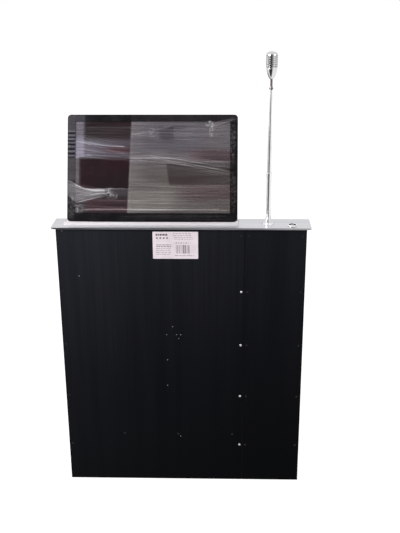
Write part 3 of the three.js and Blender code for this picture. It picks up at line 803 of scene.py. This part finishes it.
back_screws = []
for x in (-270.0, -90.0, 90.0, 270.0):
    for z in (14.0, 220.0, 430.0, 636.0):
        back_screws.append(face_back(x, z, spin=spins()))
screws("back_screw", 2.6, 1.1, M_SCREW_BLACK, back_screws)

side_screws = []
for side, turn in ((-1, -math.pi / 2), (1, math.pi / 2)):
    for z in (40.0, 240.0, 440.0, 620.0):
        for y in (-20.0, 20.0):
            spin = Matrix.Rotation(turn, 4, "Y") @ Matrix.Rotation(spins(), 4, "Z")
            side_screws.append(Matrix.Translation((side * SIDE_X * MM, y * MM, z * MM)) @ spin)
screws("side_screw", 2.3, 0.9, M_SCREW_BLACK, side_screws)


def label_marks():
    """Grey lines and bars that stand for print, with nothing to read in them."""
    low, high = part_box("label_plate")
    left = low.x / MM + 5
    right = high.x / MM - 5
    top = high.z / MM - 5
    y = low.y / MM
    marks = []

    def line(x0, x1, z, height):
        marks.append(((x0, y - 0.05, z - height), (x1, y + 0.05, z)))

    def broken_line(x0, x1, z, height, longest, gap):
        x = x0
        while x < x1:
            end = min(x + rng.uniform(0.35, 1.0) * longest, x1)
            line(x, end, z, height)
            x = end + gap

    broken_line(left + 2, left + 29, top, 4.2, 6, 1.3)
    for i in range(4):
        x = left + 3 + i * 7.5
        marks.append(((x, y - 0.05, top - 11.5), (x + 3.4, y + 0.05, top - 8)))
    for i in range(4):
        broken_line(left + 40 + i, right - 10 + i, top + 1 - i * 4.2, 0.9, 7, 1.8)
    for i in range(2):
        broken_line(left + 3, left + 36, top - 25 - i * 4, 1.5, 9, 1.6)
    for i in range(4):
        broken_line(left + 2, left + 36, top - 34 - i * 4.4, 0.8, 9, 1.6)
    broken_line(left + 46, right - 12, top - 20, 2.2, 3, 3.6)
    x = left + 47
    while x < right - 14:
        width = rng.choice((0.5, 0.8, 1.6))
        marks.append(((x, y - 0.05, top - 46), (x + width, y + 0.05, top - 26)))
        x += width + rng.choice((0.9, 1.4, 2.4))
    broken_line(left + 44, right - 4, top - 50.5, 0.9, 12, 1.7)
    return marks


boxes_piece("label_print", label_marks(), M_INK, "housing")

# ---- monitor

refined("carrier_plate", M_BAR, 0.45, 3)
refined("monitor_bezel", M_BEZEL, 0.9, 3)
refined("monitor_rear_shell", M_SHELL, 0.9, 3)
refined("lcd_panel", M_SCREEN, 0.2, 2)

HINGE = Matrix.Translation((MONITOR_X * MM, HINGE_Y * MM, HINGE_Z * MM))
LEAN = HINGE @ Matrix.Rotation(-math.radians(TILT_DEG), 4, "X")

# The film's places are given across (0 left to 1 right) and down (0 top to 1 foot).
# Fans of creases: from a span of heights at one place across to a span at another,
# with how many, how wide, how milky (below 0 is clearer), and how far they bow.
FANS = [
    ((0.045, 0.225, 0.39), (0.375, 0.29, 0.425), 11, 0.0045, 0.24, 0.012),
    ((0.045, 0.236, 0.256), (0.385, 0.298, 0.316), 3, 0.0028, 0.24, 0.01),
    ((0.045, 0.4, 0.405), (0.16, 0.38, 0.385), 2, 0.004, 0.26, -0.008),
    ((0.08, 0.115, 0.24), (0.375, 0.115, 0.26), 9, 0.003, 0.09, 0.0),
    ((0.05, 0.18, 0.24), (0.375, 0.24, 0.4), 14, 0.0026, 0.13, 0.006),
    ((0.34, 0.395, 0.45), (0.995, 0.44, 0.6), 16, 0.003, 0.15, -0.012),
    ((0.45, 0.33, 0.4), (0.995, 0.43, 0.57), 9, 0.0028, 0.14, 0.004),
    ((0.4, 0.41, 0.47), (0.995, 0.49, 0.59), 7, 0.0036, -0.13, -0.01),
    ((0.4, 0.33, 0.4), (0.995, 0.38, 0.47), 5, 0.0036, -0.1, 0.004),
    ((0.42, 0.365, 0.4), (0.99, 0.49, 0.6), 9, 0.0028, 0.17, -0.006),
    ((0.6, 0.69, 0.8), (0.96, 0.67, 0.82), 6, 0.0034, -0.09, 0.0),
    ((0.36, 0.4, 0.44), (0.6, 0.335, 0.38), 7, 0.004, 0.11, 0.0),
    ((0.36, 0.07, 0.21), (0.78, 0.075, 0.24), 9, 0.0035, 0.12, 0.01),
    ((0.36, 0.185, 0.2), (0.64, 0.085, 0.1), 3, 0.004, 0.16, 0.006),
    ((0.6, 0.1, 0.33), (0.96, 0.14, 0.33), 12, 0.004, 0.1, 0.012),
    ((0.35, 0.64, 0.68), (0.96, 0.63, 0.69), 5, 0.0045, 0.11, 0.006),
    ((0.35, 0.7, 0.91), (0.96, 0.69, 0.9), 15, 0.004, 0.12, 0.004),
    ((0.0, 0.62, 0.78), (0.24, 0.7, 0.735), 16, 0.0032, 0.2, 0.014),
    ((0.045, 0.82, 0.832), (0.24, 0.75, 0.762), 3, 0.003, 0.36, 0.004),
    ((0.0, 0.64, 0.74), (0.26, 0.7, 0.75), 8, 0.0026, 0.24, 0.026),
    ((0.02, 0.76, 0.83), (0.23, 0.7, 0.73), 6, 0.0026, 0.24, -0.006),
    ((0.01, 0.62, 0.64), (0.22, 0.705, 0.715), 4, 0.003, 0.3, 0.03),
    ((0.21, 0.697, 0.7), (0.36, 0.694, 0.697), 2, 0.004, 0.3, 0.0),
    ((0.06, 0.79, 0.9), (0.365, 0.8, 0.905), 9, 0.0045, 0.15, 0.0),
    ((0.03, 0.89, 0.9), (0.97, 0.888, 0.902), 4, 0.003, 0.22, 0.0),
    ((0.9, 0.1, 0.9), (0.999, 0.08, 0.92), 34, 0.003, 0.1, 0.0),
    ((0.33, 0.935, 0.985), (0.97, 0.94, 0.985), 5, 0.003, 0.1, -0.004),
    ((0.84, 0.085, 0.12), (0.995, 0.02, 0.045), 6, 0.0045, 0.17, 0.0),
    ((0.85, 0.11, 0.15), (0.96, 0.08, 0.13), 4, 0.005, 0.16, 0.0),
]
# Places where the film is crumpled: centre, radius across and down, how milky.
CRUMPLES = [
    ((0.245, 0.72), (0.036, 0.04), 0.5),
    ((0.262, 0.765), (0.034, 0.036), 0.5),
    ((0.835, 0.085), (0.022, 0.032), 0.95),
    ((0.848, 0.15), (0.016, 0.06), 0.45),
    ((0.065, 0.88), (0.03, 0.055), 0.45),
    ((0.022, 0.87), (0.02, 0.12), 0.34),
    ((0.975, 0.24), (0.018, 0.2), 0.3),
    ((0.978, 0.72), (0.016, 0.18), 0.26),
    ((0.495, 0.155), (0.018, 0.075), 0.18),
    ((0.54, 0.235), (0.03, 0.025), 0.14),
]
MILKY = srgb(150, 144, 149)
LAVENDER = srgb(146, 140, 158)
WARM = srgb(150, 143, 138)
PALE = srgb(232, 234, 236)
REDDISH = srgb(140, 104, 112)
FILM_COLUMNS = 400
FILM_ROWS = 250
# The frame's front face, before the monitor leans, and how far in front of it the film lies.
FRAME_FRONT = -5.0
FILM_GAP = 0.25


def smooth(low, high, value):
    """0 below low, 1 above high, and a soft step between them."""
    t = np.clip((value - low) / (high - low), 0.0, 1.0)
    return t * t * (3 - 2 * t)


def band(value, low, high, soft):
    """1 between low and high, 0 outside, with soft ends."""
    return smooth(low - soft, low + soft, value) * (1 - smooth(high - soft, high + soft, value))


def ripple(u, v, across, down, seed):
    """Smooth noise of about -1 to 1 over the film."""
    pairs = zip(u.ravel() * across, v.ravel() * down)
    values = [noise.noise(Vector((a, b, seed))) for a, b in pairs]
    return np.array(values).reshape(u.shape)


def creases(u, v):
    """How strongly the fans of creases show: milkiness, and height of the ridges."""
    draw = random.Random(21)
    haze_and_reflection = np.zeros_like(u)
    ridge = np.zeros_like(u)
    for start, end, count, width, strength, bow in FANS:
        for i in range(count):
            place = (i + draw.uniform(0.2, 0.8)) / count
            other = min(1.0, max(0.0, place + draw.uniform(-0.15, 0.15)))
            v0 = start[1] + (start[2] - start[1]) * place
            v1 = end[1] + (end[2] - end[1]) * other
            first = start[0] + draw.uniform(0.0, 0.12) * (end[0] - start[0])
            last = end[0] - draw.uniform(0.0, 0.2) * (end[0] - start[0])
            power = draw.uniform(0.35, 1.0)
            thick = width * draw.uniform(0.6, 1.3)
            t = (u - start[0]) / (end[0] - start[0])
            line = v0 + (v1 - v0) * t + bow * np.sin(math.pi * np.clip(t, 0, 1))
            line += 0.0025 * np.sin(t * draw.uniform(6, 14) + draw.uniform(0, 6))
            here = np.exp(-(((v - line) / thick) ** 2)) * band(u, first, last, 0.02) * power
            haze_and_reflection += strength * here
            ridge += here
    return haze_and_reflection, np.minimum(ridge, 1.0)


def crumples(u, v):
    """Crushed spots: a net of sharp, bright little ridges."""
    haze_and_reflection = np.zeros_like(u)
    net = np.abs(ripple(u, v, 120, 80, 1.0))
    net_fine = np.abs(ripple(u, v, 190, 125, 8.0))
    patchy = np.clip(0.7 + 1.4 * ripple(u, v, 60, 40, 4.0), 0, 1.3)
    sharp = np.maximum(np.clip(1 - net * 8, 0, 1), 0.8 * np.clip(1 - net_fine * 7, 0, 1)) * patchy
    for centre, size, gain in CRUMPLES:
        d = np.hypot((u - centre[0]) / size[0], (v - centre[1]) / size[1])
        haze_and_reflection += gain * sharp * (1 - smooth(0.6, 1.3, d))
    return haze_and_reflection


def film_fields(u, v):
    """How milky the film is, with a painted reflection on its right side, how far it stands off, and
    its tint.
    """
    reflection_edge = 0.376 - 0.026 * v
    second = smooth(reflection_edge - 0.006, reflection_edge + 0.006, u)
    first = 1 - second
    cloud = ripple(u, v, 5, 9, 0.7)
    drift = ripple(u, v, 3, 14, 5.1)
    thread = ripple(u, v, 5, 90, 2.2)

    # One layer of film all over; the right side is made milkier: a painted reflection of the bright
    # studio.
    haze_and_reflection = first * (0.08 + 0.03 * cloud) + second * (0.34 + 0.05 * cloud + 0.05 * drift)
    haze_and_reflection += 0.07 * second * (1 - smooth(0.0, 0.14, u - reflection_edge))
    haze_and_reflection += 0.04 * band(u, reflection_edge, reflection_edge + 0.012, 0.004)
    # Pale edge strip beside the frame, and the haze of the creased belt.
    haze_and_reflection += 0.36 * band(u, 0.046, 0.094, 0.012) * band(v, 0.055, 0.39, 0.03) * (1 + 0.5 * thread)
    haze_and_reflection += 0.24 * band(u, 0.044, 0.066, 0.005) * band(v, 0.38, 0.655, 0.02)
    belt = band(v, 0.235, 0.405, 0.02) * first
    haze_and_reflection += belt * (0.30 - 0.20 * smooth(0.05, 0.30, u))
    # Clear patches: through them the dark screen shows.
    patch_foot = 0.62 + 0.075 * smooth(0.0, 0.11, u)
    window = band(u, 0.076, reflection_edge, 0.006) * smooth(0.405, 0.43, v)
    window *= 1 - smooth(patch_foot - 0.006, patch_foot + 0.004, v)
    dark_top = band(u, 0.102, reflection_edge, 0.006) * (1 - smooth(0.10, 0.12, v))
    purple = band(u, 0.105, reflection_edge, 0.008) * band(v, 0.125, 0.215, 0.012)
    haze_and_reflection *= (1 - 0.97 * window) * (1 - 0.9 * dark_top) * (1 - 0.65 * purple)
    # Gathered bunch at the left.
    upper = 0.618 + 0.079 * smooth(0.0, 0.11, u)
    lower = np.where(u < 0.046, 0.76 + 1.4 * u, 0.842 - 0.40 * u)
    bunch = smooth(upper - 0.004, upper + 0.004, v) * (1 - smooth(lower - 0.006, lower + 0.006, v))
    bunch *= 1 - smooth(0.245, 0.265, u)
    haze_and_reflection += bunch * (0.23 + 0.16 * thread)
    strip = band(v, 0.697, 0.76, 0.006) * band(u, 0.25, reflection_edge, 0.01)
    haze_and_reflection += 0.05 * strip
    # Uneven on the right: the painted reflection there is paler in some bands and darker in others.
    thin = band(v, 0.455, 0.665 - 0.03 * (u - 0.6), 0.016)
    haze_and_reflection -= 0.20 * second * thin * smooth(0.578, 0.592, u - 0.09 * (v - 0.5))
    haze_and_reflection -= 0.12 * band(u, 0.540, 0.625, 0.006) * band(v, 0.115, 0.235, 0.006)
    haze_and_reflection -= 0.09 * band(u, 0.600, 0.700, 0.015) * band(v, 0.095, 0.135, 0.008)
    haze_and_reflection += 0.12 * second * band(v, 0.715, 0.895, 0.012) * (1 - smooth(0.55, 0.75, u))
    haze_and_reflection -= 0.05 * second * band(v, 0.70, 0.93, 0.02) * smooth(0.58, 0.66, u)
    haze_and_reflection -= 0.08 * second * band(v, 0.34, 0.44, 0.03) * smooth(0.70, 0.85, u)
    haze_and_reflection += (0.055 * second + 0.03 * first * (1 - window)) * thread

    # Round the frame the film lies tight and is hard to see.
    inside = band(u, 0.0455, 0.9570, 0.002) * band(v, 0.0640, 0.9255, 0.003)
    on_frame = 1 - inside
    frame_haze_and_reflection = 0.15 * (1 - smooth(0.040, 0.048, u)) * (1 - smooth(0.60, 0.64, v))
    frame_haze_and_reflection += 0.13 * band(u, 0.044, 0.100, 0.004) * (1 - smooth(0.05, 0.07, v))
    # The painted reflection reaches onto the top of the frame.
    frame_haze_and_reflection += 0.03 * second * (1 - smooth(0.06, 0.07, v))
    rungs = band(v, 0.145, 0.405, 0.01) * (1 - smooth(0.038, 0.046, u))
    frame_haze_and_reflection += rungs * 0.26 * np.sign(np.sin(v * 170 + 3 * cloud)) * (0.6 + 0.4 * thread)
    haze_and_reflection = haze_and_reflection * inside + frame_haze_and_reflection * on_frame
    haze_and_reflection += bunch * on_frame * (0.28 + 0.12 * thread)

    folds, ridge = creases(u, v)
    folds *= 1 - 0.35 * on_frame * (v > 0.3)
    crushed = crumples(u, v)
    haze_and_reflection += folds + crushed
    stand_off = 0.12 + 0.10 * (cloud + 1) + 0.55 * ridge

    tint = np.empty(u.shape + (4,))
    tint[...] = MILKY
    # Tints weighted by the right side colour the painted reflection; the others are the film's own.
    stains_and_reflection_tints = (
        (0.8 * belt + 0.7 * band(u, 0.0, 0.1, 0.01) * (v < 0.4), LAVENDER),
        (0.5 * second * band(u, 0.45, 0.80, 0.08) * band(v, 0.08, 0.34, 0.05), LAVENDER),
        (0.8 * second * smooth(0.35, 0.60, v), WARM),
        (0.9 * first * (window + band(v, 0.30, 0.36, 0.02) * smooth(0.15, 0.3, u)), REDDISH),
        (0.9 * first * band(v, 0.79, 0.93, 0.02) * smooth(0.08, 0.14, u), REDDISH),
        (0.6 * second * band(v, 0.33, 0.43, 0.03) * smooth(0.65, 0.80, u), REDDISH),
        (0.5 * second * band(v, 0.66, 0.80, 0.04) * smooth(0.60, 0.75, u), REDDISH),
        (0.7 * crushed + 0.4 * smooth(0.15, 0.6, folds) + 0.1 * bunch, PALE),
    )
    for amount, colour in stains_and_reflection_tints:
        amount = np.clip(amount, 0, 1)[..., None]
        tint = tint + (np.array(colour) - tint) * amount
    return np.clip(haze_and_reflection, 0, 0.92), np.clip(stand_off, 0, 1), tint


def film():
    """Wrapping film over the monitor's front, creased, with its rim pulled tight to the frame."""
    rim = 1.0
    foot = 1.7
    width = MONITOR_W - 2 * rim
    top = MONITOR_FOOT + MONITOR_H - rim
    u, v = np.meshgrid(np.linspace(0, 1, FILM_COLUMNS + 1), np.linspace(0, 1, FILM_ROWS + 1))
    haze_and_reflection, off, tint = film_fields(u, v)
    edge = np.minimum(np.minimum(u, 1 - u) * width, np.minimum(v, 1 - v) * (top - foot))
    x = (-width / 2 + u * width) * MM
    y = (FRAME_FRONT - FILM_GAP - off * smooth(0.0, 6.0, edge)) * MM
    z = (top + (foot - top) * v) * MM
    points = [LEAN @ Vector(p) for p in zip(x.ravel(), y.ravel(), z.ravel())]
    faces = []
    line = FILM_COLUMNS + 1
    for r in range(FILM_ROWS):
        for c in range(FILM_COLUMNS):
            a = r * line + c
            faces.append((a, a + line, a + line + 1, a + 1))
    mesh = bpy.data.meshes.new("film_sheet")
    mesh.from_pydata(points, [], faces)
    mesh.attributes.new("haze_and_reflection", "FLOAT", "POINT").data.foreach_set("value", haze_and_reflection.ravel())
    mesh.attributes.new("tint", "FLOAT_COLOR", "POINT").data.foreach_set("color", tint.ravel())
    sheet = piece("film_sheet", mesh, M_FILM, "monitor", 180)
    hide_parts("protective_film")


film()

# ---- microphone mast

JOINT_Z = 762.0
STEP_Z = 878.0
NECK_Z = 946.5
MIC_Z = 968.0
LOWER_R = 5.6
UPPER_R = 4.8
THIN_R = 3.5


def mast_piece(name, profile, z, look, sharp, node, segments=96):
    """A turned piece of the mast or the microphone, its profile's heights counted from z."""
    at = (MAST_X, MAST_Y, z)
    turned_piece(name, profile, at, look, "mast", sharp, node, segments)


def lower_tube():
    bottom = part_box("mast_lower_tube")[0].z / MM
    length = JOINT_Z + 5.3 - bottom
    profile = [
        (3.7, 0), (LOWER_R, 0), (LOWER_R, length - 14), (LOWER_R + 0.5, length - 9),
        (LOWER_R + 0.5, length - 0.7), (UPPER_R + 0.3, length), (3.7, length), (3.7, 0),
    ]
    profile = rounded(profile, 0.3)
    mast_piece("mast_lower", profile, bottom, M_CHROME, 50, "mast_lower_tube")


def upper_tube():
    bottom, top = (p.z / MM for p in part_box("mast_upper_tube"))
    step = STEP_Z - bottom
    length = top - bottom
    profile = [
        (2.1, 0), (UPPER_R, 0), (UPPER_R, step - 40), (THIN_R, step + 2), (THIN_R, length),
        (2.1, length), (2.1, 0),
    ]
    profile = rounded(profile, 0.3)
    mast_piece("mast_upper", profile, bottom, M_CHROME, 50, "mast_upper_tube")


def foot_cone():
    inner = LOWER_R + 0.3
    profile = [
        (inner, -1.6), (12.7, -1.6), (12.8, 0.1), (12.4, 0.4), (9.0, 0.6), (8.2, 1.8), (7.7, 5),
        (7.3, 9), (7.0, 12), (6.7, 12.9), (inner, 13), (inner, -1.6),
    ]
    profile = rounded(profile, 0.5)
    mast_piece("mast_foot", profile, PLATE_TOP, M_SATIN, 60, "mast_base_cone")


def neck():
    top = MIC_Z - NECK_Z - 0.1
    profile = [(0, 0), (3.6, 0), (4.4, 0.7), (4.45, 1.8), (3.9, 3.2), (3.0, 5.4), (2.6, 7)]
    height = 7.0
    while height < top - 1.6:
        profile += [(2.6, height + 0.25), (2.38, height + 0.55), (2.6, height + 0.85)]
        height += 1.1
    profile += [(2.6, top), (0, top)]
    mast_piece("mast_neck", profile, NECK_Z, M_NECK, 50, "mic_neck", 64)


def mic_body():
    profile = [
        (0, 0), (3.4, 0), (4.6, 0.7), (6.4, 3), (8.0, 6), (9.3, 9), (10.5, 12.4), (11.4, 16),
        (12.1, 19.6), (12.3, 22), (12.0, 22.3), (12.0, 22.9), (12.3, 23.2), (12.3, 24), (9, 24),
        (9, 15), (0, 15),
    ]
    profile = rounded(profile, 0.5)
    mast_piece("mic_body_shell", profile, MIC_Z, M_MIRROR, 40, "mic_body", 128)


GRILLE_LOW = 24.3
GRILLE_TOP = 57.0
GRILLE_R = 12.5
RIB_PITCH = 4.2
RIB_COUNT = 6
POST_COUNT = 12


def grille_radius(height):
    """Outer radius of the microphone's head at a height above its foot, in mm."""
    shoulder = 49.0
    if height <= shoulder:
        return GRILLE_R
    t = min(1.0, (height - shoulder) / (GRILLE_TOP - shoulder))
    return GRILLE_R * math.sqrt(max(0.0, 1 - t**2.4))


def grille():
    """Turned rings one above another, with dark gaps between them and a rounded cap."""
    profile = [
        (0, 18), (8, 18), (8, GRILLE_LOW), (GRILLE_R - 0.3, GRILLE_LOW), (GRILLE_R, GRILLE_LOW + 0.4),
    ]
    for i in range(RIB_COUNT):
        z = GRILLE_LOW + 2.0 + i * RIB_PITCH
        profile += [
            (GRILLE_R, z), (GRILLE_R - 0.3, z + 0.25), (GRILLE_R - 2.2, z + 0.5),
            (GRILLE_R - 2.2, z + 1.5), (GRILLE_R - 0.3, z + 1.75), (GRILLE_R, z + 2.0),
        ]
    z = GRILLE_LOW + 2.0 + RIB_COUNT * RIB_PITCH
    while z < GRILLE_TOP - 0.05:
        profile.append((grille_radius(z), z))
        z += 0.5
    profile.append((0, GRILLE_TOP))
    mast_piece("mic_grille_rings", profile, MIC_Z, M_GRILLE, 40, "mic_grille", 128)


def grille_posts():
    """Upright posts that join the rings."""
    posts = []
    for i in range(POST_COUNT):
        angle = 2 * math.pi * (i + 0.5) / POST_COUNT
        x = MAST_X + (GRILLE_R - 1.1) * math.cos(angle)
        y = MAST_Y + (GRILLE_R - 1.1) * math.sin(angle)
        low = MIC_Z + GRILLE_LOW + 1.5
        high = MIC_Z + GRILLE_LOW + 2.5 + RIB_COUNT * RIB_PITCH
        posts.append(((x - 0.6, y - 0.6, low), (x + 0.6, y + 0.6, high)))
    boxes_piece("mic_grille_posts", posts, M_GRILLE, "mast")


lower_tube()
upper_tube()
foot_cone()
neck()
mic_body()
grille()
grille_posts()

# ---- push button

BUTTON_AT = (BUTTON_X, BUTTON_Y, PLATE_TOP)


def button_piece(name, profile, arc, look, body, node=None):
    """A turned piece of the push button, its corners rounded to an arc."""
    turned_piece(name, rounded(profile, arc), BUTTON_AT, look, body, 50, node)


def button_bezel():
    profile = [
        (6.6, -20), (7.9, -20), (7.9, 0.3), (10.4, 0.3), (10.4, 1.5), (9.9, 2.5), (9.1, 3.2),
        (8.4, 3.4), (8.0, 3.2), (8.0, 0.8), (6.6, 0.8), (6.6, -20),
    ]
    button_piece("button_ring", profile, 0.4, M_SATIN, "housing", "button_bezel")


def button_insert():
    """Black collar set in the ring, round the cap."""
    profile = [(6.45, 0.9), (7.9, 0.9), (7.9, 3.0), (7.3, 3.35), (6.8, 3.2), (6.45, 2.8), (6.45, 0.9)]
    button_piece("button_insert", profile, 0.3, M_BEZEL, "housing")


def button_cap():
    profile = [(0, -12), (6, -12), (6, 1.2), (5.7, 1.6), (5.2, 1.7), (4.2, 1.45), (2.4, 1.1), (0, 1.0)]
    button_piece("button_cap", profile, 0.4, M_CHROME, "button", "push_button")


button_bezel()
button_insert()
button_cap()

# ---- rear connectors

refined("mains_inlet", M_PLASTIC, 0.4)
refined("power_rocker", M_PLASTIC, 0.5, 3)
refined("video_socket", M_STEEL, 0.2)
refined("network_socket", M_STEEL, 0.2)
refined("mic_output_socket", M_DARK_METAL, 0.25)

CONNECTOR_Z = 45.0
INLET_X = -232.5
VIDEO_SOCKET_X = 50.0
NETWORK_SOCKET_X = 95.0
MIC_SOCKET_X = 185.0
MIC_PIN_Y = 17.2


def contacts():
    """Pins and tongues inside the sockets."""
    pins = []
    for dx, dz in ((-7.0, -3.0), (7.0, -3.0), (0.0, 2.5)):
        x = INLET_X + dx
        z = CONNECTOR_Z + dz
        pins.append(((x - 1, 14, z - 2), (x + 1, 27, z + 2)))
    boxes_piece("inlet_pins", pins, M_SCREW, "housing", 0.5)
    low = (VIDEO_SOCKET_X - 6.5, 21.5, CONNECTOR_Z - 0.8)
    high = (VIDEO_SOCKET_X + 6.5, 28.5, CONNECTOR_Z + 0.8)
    boxes_piece("video_tongue", [(low, high)], M_PLASTIC, "housing", 0.4)
    springs = []
    for i in range(8):
        x = NETWORK_SOCKET_X - 4.2 + i * 1.2
        springs.append(((x - 0.25, 17.5, CONNECTOR_Z + 4.6), (x + 0.25, 27, CONNECTOR_Z + 5.1)))
    boxes_piece("network_contacts", springs, M_GOLD, "housing", 0.1)
    pin = [(0, 0), (1.2, 0), (1.2, 9), (0.6, 10), (0, 10.2)]
    for i, (dx, dz) in enumerate(((-4.5, 2.0), (4.5, 2.0), (0.0, -5.0))):
        tip = turned_mesh(f"mic_pin_{i + 1}", pin, (0, 0, 0), 24)
        obj = piece(f"mic_pin_{i + 1}", tip, M_GOLD, "housing")
        obj.matrix_world = face_back(MIC_SOCKET_X + dx, CONNECTOR_Z + dz, MIC_PIN_Y)


contacts()

# ---- inside

dress(M_BLACK_ZINC, "bay_divider")
dress(M_ZINC, "equipment_shelf", "power_supply", "lower_bracket_left", "lower_bracket_right")
dress(M_ZINC, "idler_bracket_left", "idler_bracket_right", "lift_motor", "carriage_frame")
dress(M_ZINC, "mic_lower_bracket", "mic_idler_bracket", "tilt_motor")
dress(M_STEEL, "guide_rod_left", "guide_rod_right", "idler_pulley_left", "idler_pulley_right")
dress(M_STEEL, "drive_shaft", "hinge_rod", "mic_guide_rod", "mic_drive_pulley")
dress(M_STEEL, "mic_idler_pulley", "button_nut")
dress(M_DARK_METAL, "lift_gearbox", "carriage_end_left", "carriage_end_right")
dress(M_DARK_METAL, "mic_motor", "mic_carriage")
dress(M_RUBBER, "lift_belt_left", "lift_belt_right", "mic_belt")
dress(M_PLASTIC, "button_contact_block")
dress(M_BOARD, "control_board", "display_board")
